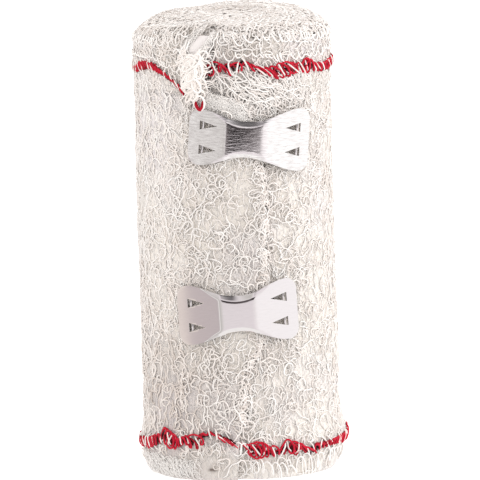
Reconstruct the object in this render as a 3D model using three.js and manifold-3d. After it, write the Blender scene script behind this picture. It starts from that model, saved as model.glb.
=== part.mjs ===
// Elastic crepe bandage, wound into a roll that stands on one end, with two stretch clips over its loose end.
// The roll's axis is +Z and the middle of its flat bottom is the origin. The clips face -Y.
import * as THREE from "three";
import { mergeVertices } from "three/addons/utils/BufferGeometryUtils.js";
import Module from "manifold-3d";

const wasm = await Module();
wasm.setup();

// Driving dimensions in millimetres. An angle is in degrees, counted from +X towards +Y.
const WIDTH = 75; // of the cloth, which is the height of the roll
const FIRST_RADIUS = 15.15; // of the lap beneath, where the loose end leaves the roll
const CLOTH = 1.0; // thickness of the loose end
const GAP = 0.3; // air between two pieces that touch
const ROOT = 190; // angle where the loose end leaves the roll
const STEP = 0.7; // angle taken by the step of one ply at the root
const BOTTOM_SHOULDER = 2.6;
const TOP_SHOULDER = 2.9;
const DOME = 0.5; // rise of the top end towards its middle
const COARSE_TURNS = 5; // ridges of the winding that show on the top end
const RIDGE = 0.3;
const PLY = CLOTH + GAP;
const DEG = Math.PI / 180;

// Soft unevenness of the wound wall: how many waves go round, how fast they climb, and their depth
const WAVES = [
  { round: 3, climb: 1 / 9, depth: 0.1 },
  { round: 5, climb: -1 / 7, depth: 0.06 },
];

// The free edge of the loose end. A level is a height that runs on round the shoulders as a length.
const END_EDGE = [
  { level: 1.0, angle: 267.2 },
  { level: 2.3, angle: 267.6 },
  { level: 4.2, angle: 268.2 },
  { level: 8.4, angle: 269.5 },
  { level: 17.5, angle: 272 },
  { level: 23.3, angle: 283 },
  { level: 31.6, angle: 285.7 },
  { level: 41.5, angle: 285.9 },
  { level: 51.5, angle: 285.4 },
  { level: 57.5, angle: 282.5 },
  { level: 61, angle: 276.5 },
  { level: 63, angle: 266.5 },
  { level: 64.3, angle: 256 },
  { level: 67, angle: 254.6 },
  { level: 71, angle: 254.2 },
  { level: 74.3, angle: 253.5 },
];

// Raised forms on the outer face of the loose end: middle, reach each way, and height
const FOLDS = [
  { level: 69.2, angle: 249.5, tall: 4.9, wide: 4.5, height: 0.9 },
  { level: 64, angle: 261, tall: 1.5, wide: 9, height: 0.35 },
  { level: 72.6, angle: 240, tall: 2.2, wide: 9, height: 0.4 },
];
const HEM = { height: 0.25, wide: 3.2 }; // the sewn end is a little thicker

// A clip is stamped from sheet metal: a waisted plate with a middle facet and two wings bent towards the roll
const SHEET = 0.35;
const CLIP = { end: 5.0, waist: 3.0, corner: 1.3, facet: 5.4, bendRadius: 1.6 };
const FLANGE = { width: 1.2, reach: 6.8, turn: 40 };
const HOLE = { base: 1.5, length: 2.9, inset: 2.1, apart: 4.1 };
const TOOTH = { length: 1.9, root: 0.1 };
const SEAT = { lift: 0.85, dent: 0.35, wide: 36, tall: 6.5 }; // air under the middle facet, and the pressed cloth
const CLIPS = [
  { name: "clip_upper", angle: 277.3, height: 56.5, tilt: -4.6, left: 7.4, right: 9.0, bendLeft: 25, bendRight: 32 },
  { name: "clip_lower", angle: 269.5, height: 27.5, tilt: 2.4, left: 8.1, right: 8.3, bendLeft: 26, bendRight: 28 },
];

// The red selvage yarn: half its height, its thickness at its edges and in the middle
const YARN = { half: 0.85, edge: 0.25, thick: 0.75 };
const YARN_LINES = [
  {
    name: "red_yarn_top_roll",
    onEnd: false,
    columns: 46,
    line: [
      { angle: 257.5, level: 68.4 },
      { angle: 270, level: 68.2 },
      { angle: 291, level: 66.9 },
      { angle: 316, level: 67.3 },
      { angle: 357, level: 67.4 },
      { angle: 420, level: 67.8 },
      { angle: 485, level: 67.2 },
      { angle: 548.5, level: 67.5 },
    ],
  },
  {
    name: "red_yarn_top_end",
    onEnd: true,
    columns: 8,
    line: [
      { angle: 192, level: 67.5 },
      { angle: 207, level: 67.4 },
      { angle: 226, level: 66.4 },
      { angle: 241, level: 64.6 },
    ],
  },
  {
    name: "red_yarn_bottom_roll",
    onEnd: false,
    columns: 46,
    line: [
      { angle: 272, level: 5.8 },
      { angle: 285, level: 4.9 },
      { angle: 308, level: 4.6 },
      { angle: 335, level: 4.9 },
      { angle: 360, level: 5.6 },
      { angle: 420, level: 5.4 },
      { angle: 485, level: 5.0 },
      { angle: 548.5, level: 4.9 },
    ],
  },
  {
    name: "red_yarn_bottom_end",
    onEnd: true,
    columns: 14,
    line: [
      { angle: 192, level: 4.9 },
      { angle: 220, level: 6.4 },
      { angle: 244, level: 6.5 },
      { angle: 255, level: 8.1 },
      { angle: 266.5, level: 7.6 },
    ],
  },
];

const cotton = new THREE.MeshStandardMaterial({ color: 0xe8ded4, roughness: 0.95, metalness: 0 });
const redYarn = new THREE.MeshStandardMaterial({ color: 0xc3142c, roughness: 0.9, metalness: 0 });
const clipMetal = new THREE.MeshStandardMaterial({ color: 0xd9d8d6, roughness: 0.3, metalness: 1 });

// Even steps from one number to another, both included
function steps(count, from, to) {
  return Array.from({ length: count }, (_, i) => from + ((to - from) * i) / (count - 1));
}

// Radius of the wound wall. It grows by one ply in a whole turn from the root, then steps back.
function wallRadius(angle) {
  const past = (((angle - ROOT) % 360) + 360) % 360;
  return FIRST_RADIUS + (PLY * past) / 360;
}

// Share from 1 under a clip, where it presses the cloth flat, to 0 away from it
function underClip(clip, angle, level) {
  const round = (angle - clip.angle) / SEAT.wide;
  const up = (level - clip.height) / SEAT.tall;
  return Math.exp(-(round ** 4) - up ** 4);
}

// The wall's soft waves, faded out towards both ends, and the dent that each clip presses into it
function unevenness(angle, level) {
  const { smoothstep } = THREE.MathUtils;
  const fade = smoothstep(level, 0, 10) * (1 - smoothstep(level, WIDTH - 10, WIDTH));
  const waves = WAVES.map((w) => fade * w.depth * Math.sin(w.round * angle * DEG + w.climb * level));
  const dents = CLIPS.map((clip) => -SEAT.dent * underClip(clip, angle, level));
  return [...waves, ...dents].reduce((sum, part) => sum + part);
}

function polar(radius, angle, z) {
  return new THREE.Vector3(radius * Math.cos(angle * DEG), radius * Math.sin(angle * DEG), z);
}

// Point on the wall at an angle and level, lifted off it along its normal. The shoulders are quarter circles.
function onWall(angle, level, lift) {
  const high = level > WIDTH / 2;
  const shoulder = high ? TOP_SHOULDER : BOTTOM_SHOULDER;
  const centre = high ? WIDTH - shoulder : shoulder;
  const past = high ? Math.max(0, level - centre) : Math.min(0, level - centre);
  const lean = past / shoulder;
  const reach = shoulder + lift + unevenness(angle, level);
  const z = level - past + reach * Math.sin(lean);
  return polar(wallRadius(angle) - shoulder + reach * Math.cos(lean), angle, z);
}

// The geometry with each vertex moved to place(uv, at) and the copies of a shared vertex merged
function shaped(geometry, place) {
  const { position, uv } = geometry.attributes;
  for (let i = 0; i < position.count; i++) {
    const at = new THREE.Vector3().fromBufferAttribute(position, i);
    const moved = place(new THREE.Vector2().fromBufferAttribute(uv, i), at);
    position.setXYZ(i, moved.x, moved.y, moved.z);
  }
  geometry.deleteAttribute("normal");
  geometry.deleteAttribute("uv");
  return mergeVertices(geometry);
}

// A slab of columns by rows cells, placed by its shares along and up and by whether a point is on its outer face
function slab(columns, rows, place) {
  const box = new THREE.BoxGeometry(1, 1, 1, columns, rows, 1);
  return shaped(box, (uv, at) => place(at.x + 0.5, at.y + 0.5, at.z > 0));
}

// Smooth run through a table's points: two named columns, read at a share from 0 to 1
function splineOf(table, first, second) {
  const curve = new THREE.SplineCurve(table.map((row) => new THREE.Vector2(row[first], row[second])));
  return (share) => curve.getPoint(share);
}

// The wound cloth: a spiral wall with round shoulders, a flat bottom and coarse turns on its top end
function rollGeometry() {
  const columns = 60;
  const quarter = Math.PI / 2;
  const levels = [
    ...steps(5, BOTTOM_SHOULDER * (1 - quarter), BOTTOM_SHOULDER),
    ...steps(23, BOTTOM_SHOULDER, WIDTH - TOP_SHOULDER).slice(1),
    ...steps(6, WIDTH - TOP_SHOULDER, WIDTH + TOP_SHOULDER * (quarter - 1)).slice(1),
  ];
  const rows = [
    ...steps(3, 0, 0.8).map((share) => ({ share, place: bottomFace })),
    ...levels.map((level) => ({ level })),
    ...steps(20, 0.95, 0).map((share) => ({ share, place: topFace })),
  ];
  const profile = steps(rows.length, 0, 1).map((share) => new THREE.Vector2(Math.sin(Math.PI * share), share));
  return shaped(new THREE.LatheGeometry(profile, columns), (uv) => {
    const row = rows[Math.round(uv.y * (rows.length - 1))];
    // The last column but one is one step short of the root, and the last falls back onto the first
    const turn = uv.x > 1 - 0.5 / columns ? 0 : (uv.x * columns) / (columns - 1);
    const angle = ROOT + turn * (360 - STEP);
    return row.place ? row.place(row.share, angle) : onWall(angle, row.level, 0);
  });
}

// Point on the flat bottom, at a share of the way from the middle to the shoulder
function bottomFace(share, angle) {
  return polar(faceRadius(share, angle, BOTTOM_SHOULDER), angle, 0);
}

// Point on the top end, whose ridge winds inwards by one coarse turn a time
function topFace(share, angle) {
  const ridge = Math.cos(2 * Math.PI * (share * COARSE_TURNS - (angle - ROOT) / 360));
  const fade = 4 * share * (1 - share);
  const rise = DOME * (1 - share ** 2) + RIDGE * fade * ridge;
  return polar(faceRadius(share, angle, TOP_SHOULDER), angle, WIDTH + rise);
}

// Radius on an end: round in the middle, and growing into the spiral only near the shoulder
function faceRadius(share, angle, shoulder) {
  const round = FIRST_RADIUS + PLY / 2 - shoulder;
  return share * round + share ** 8 * (wallRadius(angle) - shoulder - round);
}

// How far the outer face of the loose end stands off the lap beneath
function endLift(angle, level, edge) {
  const hem = HEM.height * Math.exp(-(((edge - angle) / HEM.wide) ** 2));
  const folds = FOLDS.map(
    (f) => f.height * Math.exp(-(((level - f.level) / f.tall) ** 4) - ((angle - f.angle) / f.wide) ** 2),
  );
  const pressed = Math.max(...CLIPS.map((clip) => underClip(clip, angle, level)));
  return PLY + (1 - pressed) * folds.reduce((sum, fold) => sum + fold, hem);
}

// The loose end: a sheet from the root to its free edge, wrapped over part of both shoulders
function looseEndGeometry() {
  const edgeAt = splineOf(END_EDGE, "level", "angle");
  const start = ROOT + GAP / FIRST_RADIUS / DEG;
  return slab(17, 45, (along, up, outer) => {
    const { x: level, y: edge } = edgeAt(up);
    const angle = start + Math.sin((along * Math.PI) / 2) * (edge - start);
    return onWall(angle, level, outer ? endLift(angle, level, edge) : GAP);
  });
}

// Angle of the free edge at a level of the straight wall
function edgeAngle(level) {
  const after = END_EDGE.findIndex((row) => row.level > level);
  const [a, b] = [END_EDGE[after - 1], END_EDGE[after]];
  return THREE.MathUtils.mapLinear(level, a.level, b.level, a.angle, b.angle);
}

// A red yarn line: a low round-backed band that lies on the roll, or on the loose end
function yarnGeometry({ onEnd, columns, line }) {
  const lineAt = splineOf(line, "angle", "level");
  return slab(columns, 4, (along, up, outer) => {
    const { x: angle, y: middle } = lineAt(along);
    const across = 2 * up - 1;
    const level = middle + across * YARN.half;
    const under = GAP + (onEnd ? endLift(angle, level, edgeAngle(level)) : 0);
    const back = YARN.edge + (YARN.thick - YARN.edge) * Math.sqrt(1 - across ** 2);
    return onWall(angle, level, outer ? under + back : under);
  });
}

// Length of a clip from its middle to the end on one side
function reachOf(clip, side) {
  return CLIP.facet / 2 + (side > 0 ? clip.right : clip.left);
}

// A place along a clip's length: distance along and out, and the slope of the plate there
function plateAt(clip, s) {
  const side = Math.sign(s) || 1;
  const bend = (side > 0 ? clip.bendRight : clip.bendLeft) * DEG;
  const arc = CLIP.bendRadius * bend;
  const flat = CLIP.facet / 2 - arc / 2;
  const turned = THREE.MathUtils.clamp(Math.abs(s) - flat, 0, arc) / CLIP.bendRadius;
  const beyond = Math.max(0, Math.abs(s) - flat - arc);
  const along = Math.min(Math.abs(s), flat) + CLIP.bendRadius * Math.sin(turned) + beyond * Math.cos(bend);
  const drop = CLIP.bendRadius * (1 - Math.cos(turned)) + beyond * Math.sin(bend);
  return { x: side * along, out: -drop, slope: -side * turned };
}

// Half the height of the clip's outline: a circular waist between ends with round corners
function halfHeight(clip, s) {
  const toCorner = reachOf(clip, s) - CLIP.corner;
  const share = Math.min(1, Math.abs(s) / toCorner);
  const outline = CLIP.waist + (CLIP.end - CLIP.waist) * share ** 2;
  const intoCorner = Math.max(0, Math.abs(s) - toCorner);
  return outline - CLIP.corner + Math.sqrt(Math.max(0, CLIP.corner ** 2 - intoCorner ** 2));
}

// The plate of a clip, in its own frame: X along its length, Y up, Z away from the roll.
// Its outermost row on each side is the flange, widest at the waist and flat at the ends.
function plateGeometry(clip) {
  const rows = 6;
  const flat = 1 - 2 / rows;
  return slab(28, rows, (along, up, outer) => {
    const share = Math.sin((along - 0.5) * Math.PI);
    const s = share * reachOf(clip, share);
    const waist = Math.max(0, 1 - (s / FLANGE.reach) ** 2);
    const flange = FLANGE.width * Math.max(0.2, waist);
    const turn = FLANGE.turn * Math.sqrt(waist) * DEG;
    const across = 2 * up - 1;
    const flatShare = Math.min(1, Math.abs(across) / flat);
    const turnShare = Math.max(0, (Math.abs(across) - flat) / (1 - flat));
    const y = flatShare * (halfHeight(clip, s) - flange) + turnShare * flange * Math.cos(turn);
    const depth = (outer ? SHEET : 0) - turnShare * flange * Math.sin(turn);
    const { x, out, slope } = plateAt(clip, s);
    return new THREE.Vector3(x - depth * Math.sin(slope), Math.sign(across) * y, out + depth * Math.cos(slope));
  });
}

// Frame on the plate at the base of a tooth: X along the wing, Y up, Z away from the roll
function toothFrame(clip, side, row) {
  const { x, out, slope } = plateAt(clip, side * (reachOf(clip, side) - HOLE.inset));
  const along = new THREE.Vector3(Math.cos(slope), 0, Math.sin(slope));
  const away = new THREE.Vector3(-Math.sin(slope), 0, Math.cos(slope));
  const frame = new THREE.Matrix4().makeBasis(along, new THREE.Vector3(0, 1, 0), away);
  return frame.setPosition(x, (row * HOLE.apart) / 2, out);
}

// The clip's four teeth: the side of the clip each is on, and its frame
function teethOf(clip) {
  return [-1, 1].flatMap((side) => [-1, 1].map((row) => ({ side, frame: toothFrame(clip, side, row) })));
}

// A triangular prism: its base lies on the Y axis, its tip at a distance along X, and it is deep along Z
function triangle(base, tip, depth) {
  const outline = new THREE.Shape();
  outline.moveTo(0, -base / 2);
  outline.lineTo(tip, 0);
  outline.lineTo(0, base / 2);
  return new THREE.ExtrudeGeometry(outline, { depth, bevelEnabled: false });
}

// The tool that punches a hole, deep enough to pass the plate on both faces
function punchGeometry(side) {
  return triangle(HOLE.base, -side * HOLE.length, 4 * SHEET).translate(0, 0, -1.5 * SHEET);
}

// The tooth bent down from the hole's base into the cloth
function toothGeometry(side) {
  const prism = triangle(HOLE.base, TOOTH.length + SHEET / 2, SHEET).rotateY(Math.PI / 2);
  return prism.translate(side > 0 ? TOOTH.root - SHEET : -TOOTH.root, 0, SHEET / 2);
}

// The room that a tooth takes in the cloth, with the gap all round it
function pocketGeometry(side) {
  const depth = TOOTH.length + 2 * GAP;
  const room = new THREE.BoxGeometry(SHEET + 2 * GAP, HOLE.base + 2 * GAP, depth);
  return room.translate(side * (TOOTH.root - SHEET / 2), 0, GAP - depth / 2);
}

function toSolid(geometry) {
  geometry.deleteAttribute("normal");
  geometry.deleteAttribute("uv");
  const merged = mergeVertices(geometry);
  const vertProperties = merged.attributes.position.array;
  const triVerts = new Uint32Array(merged.index.array);
  return new wasm.Manifold(new wasm.Mesh({ numProp: 3, vertProperties, triVerts }));
}

function toGeometry(solid) {
  const { vertProperties, triVerts } = solid.getMesh();
  return new THREE.BufferGeometry()
    .setAttribute("position", new THREE.BufferAttribute(vertProperties, 3))
    .setIndex(new THREE.BufferAttribute(triVerts, 1));
}

function clipGeometry(clip) {
  const punches = teethOf(clip).map(({ side, frame }) => toSolid(punchGeometry(side).applyMatrix4(frame)));
  const teeth = teethOf(clip).map(({ side, frame }) => toSolid(toothGeometry(side).applyMatrix4(frame)));
  const punched = punches.reduce((plate, punch) => plate.subtract(punch), toSolid(plateGeometry(clip)));
  return toGeometry(teeth.reduce((plate, tooth) => plate.add(tooth), punched));
}

// A group at a clip's seat, turned so that the clip's length runs round the roll
function clipSeat(clip) {
  const seat = new THREE.Group();
  const outward = polar(1, clip.angle, 0);
  const up = new THREE.Vector3(0, 0, 1);
  const along = new THREE.Vector3().crossVectors(up, outward);
  seat.quaternion.setFromRotationMatrix(new THREE.Matrix4().makeBasis(along, up, outward));
  seat.rotateZ(clip.tilt * DEG);
  seat.position.copy(polar(wallRadius(clip.angle) + PLY + SEAT.lift, clip.angle, clip.height));
  seat.updateMatrix();
  return seat;
}

function meshOf(name, geometry, material) {
  const mesh = new THREE.Mesh(geometry, material);
  mesh.name = name;
  return mesh;
}

const bandage = new THREE.Group();

const pockets = CLIPS.flatMap((clip) =>
  teethOf(clip).map(({ side, frame }) => {
    const placed = pocketGeometry(side).applyMatrix4(frame).applyMatrix4(clipSeat(clip).matrix);
    return toSolid(placed);
  }),
);
for (const [name, geometry] of [
  ["bandage_roll", rollGeometry()],
  ["loose_end", looseEndGeometry()],
]) {
  const cut = pockets.reduce((solid, pocket) => solid.subtract(pocket), toSolid(geometry));
  bandage.add(meshOf(name, toGeometry(cut), cotton));
}

for (const yarn of YARN_LINES) bandage.add(meshOf(yarn.name, yarnGeometry(yarn), redYarn));

for (const clip of CLIPS) {
  const seat = clipSeat(clip);
  seat.add(meshOf(clip.name, clipGeometry(clip), clipMetal));
  bandage.add(seat);
}

export default bandage;
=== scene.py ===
"""Looks of an elastic crepe bandage wound into a standing roll, with two stretch clips over its loose end.

Lengths are in millimetres and angles in degrees, counted from +X towards +Y, until a mesh is put into the
scene. The cloth is one strip. Its winding angle runs on past whole turns, so one number gives both a place
and a lap. A level is a height on the wall that runs on round the shoulders as a length.
"""

import bpy
import numpy as np
from mathutils import Matrix


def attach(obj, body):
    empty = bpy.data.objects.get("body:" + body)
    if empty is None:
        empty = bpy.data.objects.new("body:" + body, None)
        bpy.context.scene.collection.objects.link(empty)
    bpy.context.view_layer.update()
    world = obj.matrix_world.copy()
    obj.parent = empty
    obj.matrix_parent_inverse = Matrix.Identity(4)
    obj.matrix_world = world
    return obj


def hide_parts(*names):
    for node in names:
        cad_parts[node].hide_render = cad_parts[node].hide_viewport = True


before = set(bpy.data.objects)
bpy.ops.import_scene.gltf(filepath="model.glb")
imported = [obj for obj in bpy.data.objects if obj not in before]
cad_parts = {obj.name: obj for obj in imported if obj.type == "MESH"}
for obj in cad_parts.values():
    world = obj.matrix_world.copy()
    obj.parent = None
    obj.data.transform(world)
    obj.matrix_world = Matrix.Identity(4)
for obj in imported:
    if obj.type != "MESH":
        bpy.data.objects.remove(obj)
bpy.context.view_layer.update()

MM = 0.001
DEG = np.pi / 180


def rows(names, *values):
    """A table: each row's numbers under the table's names."""
    return [dict(zip(names.split(), row)) for row in values]


# The photograph: its size and scale in pixels, and where the roll's origin lies in it
IMAGE = 480
PIXELS_PER_MM = 6.09
ORIGIN_PIXEL = (245.0, 465.5)
ELEVATION = 8.6
LEAN = 1.62
DISTANCE = 3000.0
SENSOR = 36.0

# The cloth
WIDTH = 75.0
FIRST_RADIUS = 15.15
PLY = 1.3
INNER_PLY = 0.8
ROOT = 190.0
OUTER_LAP = ROOT + 60  # the outermost cloth starts here at the earliest, beside the free edge
ROOT_STEP = (-20, 25)  # the shoulders take the step of one ply at the root over these degrees
CORE_TURNS = 17.2
BOTTOM_SHOULDER = 2.6
TOP_SHOULDER = 2.9
DOME = 0.5
BASE_UNDER = 0.22  # the woven base lies this far under the tips of its pile
FLOOR_GAP = 0.03
WAVES = rows("round climb depth", (3, 1 / 9, 0.1), (5, -1 / 7, 0.06))
WAVES_FADE = 10

# The soft roll is lower at parts of its top rim, and its foot stands out, most on the right
TOP_DROP = rows(
    "angle drop",
    (0, 0.9), (45, 0.15), (75, -0.35), (95, -0.1), (115, 0.5), (140, 0.45),
    (160, 1.0), (190, 1.8), (220, 1.1), (260, 0.0), (300, 0.2), (330, 0.8),
)
FOOT_DROP = rows(
    "angle drop",
    (0, 0.9), (45, 0.6), (90, 0.3), (180, -0.2), (210, 0.3),
    (230, 0.9), (270, 0.7), (285, 1.7), (300, 2.1), (325, 1.7),
)
SETTLING = dict(inside=6, outside=15, top=7, foot=4)
FOOT = dict(level=5.6, tall=2.4, all_round=0.45, right=0.55, wide=50.0)

# The free edge of the loose end
END_EDGE = rows(
    "level wind",
    (0.9, 625.5), (2.3, 625.9), (4.2, 626.5), (8.4, 627.8), (17.5, 630.3),
    (23.3, 641.3), (31.6, 644.0), (41.5, 644.2), (51.5, 643.7), (57.5, 641.5),
    (60.2, 638.3), (61.4, 635.8), (62.4, 632.3), (63.3, 627.0), (63.9, 620.0),
    (64.4, 614.2), (67.0, 613.0), (71.0, 614.8), (74.4, 618.5),
)
FOLDS = rows(
    "level wind tall wide height",
    (67.0, 606.2, 5.6, 6.2, 1.0),
    (72.9, 598.0, 2.2, 9.0, 0.3),
    (3.2, 606.5, 1.6, 1.8, -0.4),
    (3.6, 598.0, 1.3, 2.0, -0.3),
    (3.2, 590.0, 1.4, 3.0, 0.25),
)
HEM = dict(height=0.15, wide=3.2)

# Smooth strips of the cloth: each is a soft ridge along a line, with half its width and its height
TURNED_PIECE = dict(
    half=1.3, height=0.4, plain=0.8, line=rows("wind level", (607.6, 71.6), (612.6, 72.9), (617.8, 74.3))
)
PUFFED_EDGE = dict(
    half=1.45, height=0.15, plain=0.6,
    line=rows("wind level", (611.5, 62.4), (618.5, 62.8), (625.5, 62.2), (631.0, 61.1), (635.5, 59.4)),
)
STRIPS = [TURNED_PIECE, PUFFED_EDGE]
FOOT_STRIP = dict(half=1.8, line=rows("wind level", (552.0, 2.3), (580.0, 2.0), (600.0, 2.2)))
SMOOTH_FOOT = dict(wind=583.0, level=1.9, wide=33.0, tall=2.1, plain=0.5)

# Spots of painted brown shade where the cloth lies deep, how high the pile stands round the roll, and where
# the cloth gets a painted dimmer shade
SHADED_SPOTS = rows(
    "wind level wide tall",
    (603.2, 64.2, 1.3, 0.8),
    (605.4, 64.4, 0.9, 0.4),
    (605.3, 62.3, 1.3, 0.8),
    (253.0, 65.9, 1.4, 0.7),
    (257.5, 71.2, 2.5, 0.6),
    (611.3, 2.39, 2.3, 0.16),
)
PILE_HEIGHT = rows(
    "angle share",
    (0, 0.6), (90, 0.8), (180, 0.5), (222, 0.35), (242, 0.95),
    (262, 1.25), (285, 1.15), (303, 0.8), (325, 0.42),
)
# The dim places are painted shade: darker cloth and pile at the lower left, at the foot and at the top
# margin
PAINTED_DIM_PLACES = rows(
    "wind level wide tall share",
    (578.0, 13.0, 32.0, 14.0, 1.0),
    (588.0, 1.8, 36.0, 2.6, 0.6),
    (275.0, 71.0, 30.0, 2.6, 0.35),
    (575.0, 71.5, 24.0, 2.6, 0.3),
)

# The clips
SHEET = 0.35
CLIP = dict(waist=3.25, corner=1.8, bend_radius=1.3, barrel=1.5, rim=0.06)
FLANGE = dict(width=1.35, narrowest=0.2, reach=6.0, turn=37.0, soft=0.3)
HOLE = dict(base=1.5, length=3.0, inset=1.85, apart=4.0)
TOOTH = dict(length=1.9, bend=0.3, inset=0.42, base=1.2)
SEAT = dict(lift=0.85, dent=0.35, wide=36.0, tall=6.5)
CLIPS = [
    dict(name="upper", wind=275.0, level=56.5, tilt=-4.6, facet=6.2, left=6.4, right=8.9,
         bend_left=25.0, bend_right=32.0, end_left=4.6, end_right=5.15, bow=4.0, curl=0.0, brushed=1.0),
    dict(name="lower", wind=268.8, level=27.9, tilt=2.6, facet=5.4, left=7.8, right=7.6,
         bend_left=26.0, bend_right=28.0, end_left=4.9, end_right=5.0, bow=1.0, curl=3.0, brushed=0.1),
]

# The yarns: their thickness and that of loose fibres, how much thinner or thicker one can be, how thin a
# pile yarn is at its ends, and the length and strength of its kinks
WHITE_RADIUS = 0.125
FUZZ_RADIUS = 0.055
THICKNESS_SPREAD = (0.85, 1.1)
THIN_END = 0.35
KINKS = dict(length=(1.7, 3.2), strength=(0.5, 1.0))


def smoothstep(x, low, high):
    """0 below low, 1 above high, and 3t²-2t³ of the share t between them."""
    t = np.clip((x - low) / (high - low), 0, 1)
    return t * t * (3 - 2 * t)


def bell(row, wind, level, power):
    """1 at a row's place, falling off over its width and tallness as exp of minus that power of the way."""
    across, up = (wind - row["wind"]) / row["wide"], (level - row["level"]) / row["tall"]
    return np.exp(-np.abs(across) ** power - np.abs(up) ** power)


def half_turn(angle):
    """The same direction as an angle, from -180 to 180."""
    return (angle + 180) % 360 - 180


def column(table, name):
    """A table's numbers under one name."""
    return np.array([row[name] for row in table], float)


def round_roll(table, wind, name):
    """A table's value at an azimuth: straight lines between its rows, and on round the roll to the first."""
    return np.interp(wind, column(table, "angle"), column(table, name), period=360)


def smooth_table(table, count):
    """Catmull-Rom curve through a table's rows: a cubic on each span, whose slope at a row is half the step
    from the row before it to the row after it. Gives each column with count numbers."""
    names = list(table[0])
    knots = np.stack([column(table, name) for name in names], -1)
    knots = np.vstack([2 * knots[0] - knots[1], knots, 2 * knots[-1] - knots[-2]])
    share = np.linspace(0, len(table) - 1, count)
    span = np.minimum(share.astype(int), len(table) - 2)
    t = (share - span)[:, None]
    a, b, c, d = (knots[span + k] for k in range(4))
    bend, turn = 2 * a - 5 * b + 4 * c - d, 3 * b - a - 3 * c + d
    return dict(zip(names, (0.5 * (2 * b + (c - a) * t + bend * t**2 + turn * t**3)).T))


EDGE_CURVE = smooth_table(END_EDGE, 400)


def edge_wind(level):
    """Winding angle of the free edge at a level."""
    return np.interp(level, EDGE_CURVE["level"], EDGE_CURVE["wind"])


def winding_radius(wind):
    """Radius of the cloth's outer face: one ply more a turn, and thinner plies inside the last laps."""
    past = wind - ROOT
    return FIRST_RADIUS + np.where(past > 0, PLY, INNER_PLY) * past / 360


def wind_of(length, wind):
    """Angle that a length along the cloth takes up: the length over the radius."""
    return length / (winding_radius(wind) * DEG)


def past_edge(wind, level):
    """Length from the free edge to a place past it: the angle times the radius."""
    return (wind - edge_wind(level)) * winding_radius(wind) * DEG


def shoulder_centre(wind, shoulder):
    """Radius of the shoulder arcs' middle. It grows by one ply round the roll and falls back at the root."""
    past = half_turn(wind - ROOT)
    saw = PLY * (past / 360 + 1 - smoothstep(past, *ROOT_STEP))
    return FIRST_RADIUS - shoulder + saw


def under_clips(wind, level):
    """1 under a clip, where it presses the cloth flat, to 0 away from it: a bell to the fourth power."""
    seats = [(dict(SEAT, wind=0, level=clip["level"]), half_turn(wind - clip["wind"])) for clip in CLIPS]
    return sum(bell(seat, across, level, 4) for seat, across in seats)


def off_strip(strip, wind, level):
    """Distance from a smooth strip's line over half its width, taken to the nearest of the line's points."""
    line = smooth_table(strip["line"], 25)
    across = winding_radius(line["wind"][0]) * DEG
    points = zip(line["wind"], line["level"])
    return np.minimum.reduce([np.hypot((wind - w) * across, level - l) for w, l in points]) / strip["half"]


def on_strip(strip, wind, level, full, none):
    """1 near a smooth strip's line, up to a share of its half width, and 0 from another share of it on."""
    return 1 - smoothstep(off_strip(strip, wind, level), full, none)


def relief(wind, level):
    """Soft waves of the wound wall, less the dents under the clips, plus the foot, hem and folds."""
    fade = smoothstep(level, 0, WAVES_FADE) * (1 - smoothstep(level, WIDTH - WAVES_FADE, WIDTH))
    waves = sum(w["depth"] * np.sin(w["round"] * wind * DEG + w["climb"] * level) for w in WAVES)
    foot = np.exp(-(((level - FOOT["level"]) / FOOT["tall"]) ** 2))
    foot = foot * (FOOT["all_round"] + FOOT["right"] * np.exp(-((half_turn(wind) / FOOT["wide"]) ** 2)))
    pressed = under_clips(wind, level)
    hem = HEM["height"] * np.exp(-(((edge_wind(level) - wind) / HEM["wide"]) ** 2))
    folds = sum(fold["height"] * bell(fold, wind, level, 4) for fold in FOLDS)
    turned, puffed = (strip["height"] * on_strip(strip, wind, level, 0, 1.1) for strip in STRIPS)
    free = 1 - np.minimum(pressed, 1)
    return fade * waves + foot - SEAT["dent"] * pressed + free * (hem + folds + puffed) + turned


def from_polar(radius, wind, z):
    """Points at a radius, an azimuth and a height."""
    return np.stack([radius * np.cos(wind * DEG), radius * np.sin(wind * DEG), z + 0 * radius], -1)


def outwards(winds):
    """Directions straight out from the axis."""
    return from_polar(np.ones_like(winds), winds, 0 * winds)


def settled(radius, wind, z):
    """Points of the soft roll, with its rims lowered at both ends by the drop at their azimuth."""
    rim = smoothstep(radius, SETTLING["inside"], SETTLING["outside"])
    top = round_roll(TOP_DROP, wind, "drop") * smoothstep(z, WIDTH - SETTLING["top"], WIDTH)
    foot = round_roll(FOOT_DROP, wind, "drop") * smoothstep(-z, -SETTLING["foot"], 0)
    return from_polar(radius, wind, np.maximum(z - rim * (top + foot), FLOOR_GAP))


def on_wall(wind, level, lift):
    """Points on the outermost cloth, lifted off it. The wall is straight, and past it the level divided by
    the shoulder gives the lean about the shoulder's middle."""
    high = level > WIDTH / 2
    shoulder = np.where(high, TOP_SHOULDER, BOTTOM_SHOULDER)
    middle = np.where(high, WIDTH - TOP_SHOULDER, BOTTOM_SHOULDER)
    past = np.where(high, np.maximum(level - middle, 0), np.minimum(level - middle, 0))
    centre = shoulder_centre(wind, shoulder)
    reach = winding_radius(wind) - centre + lift + relief(wind, level)
    z = level - past + reach * np.sin(past / shoulder)
    return settled(centre + reach * np.cos(past / shoulder), wind, z)


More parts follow.
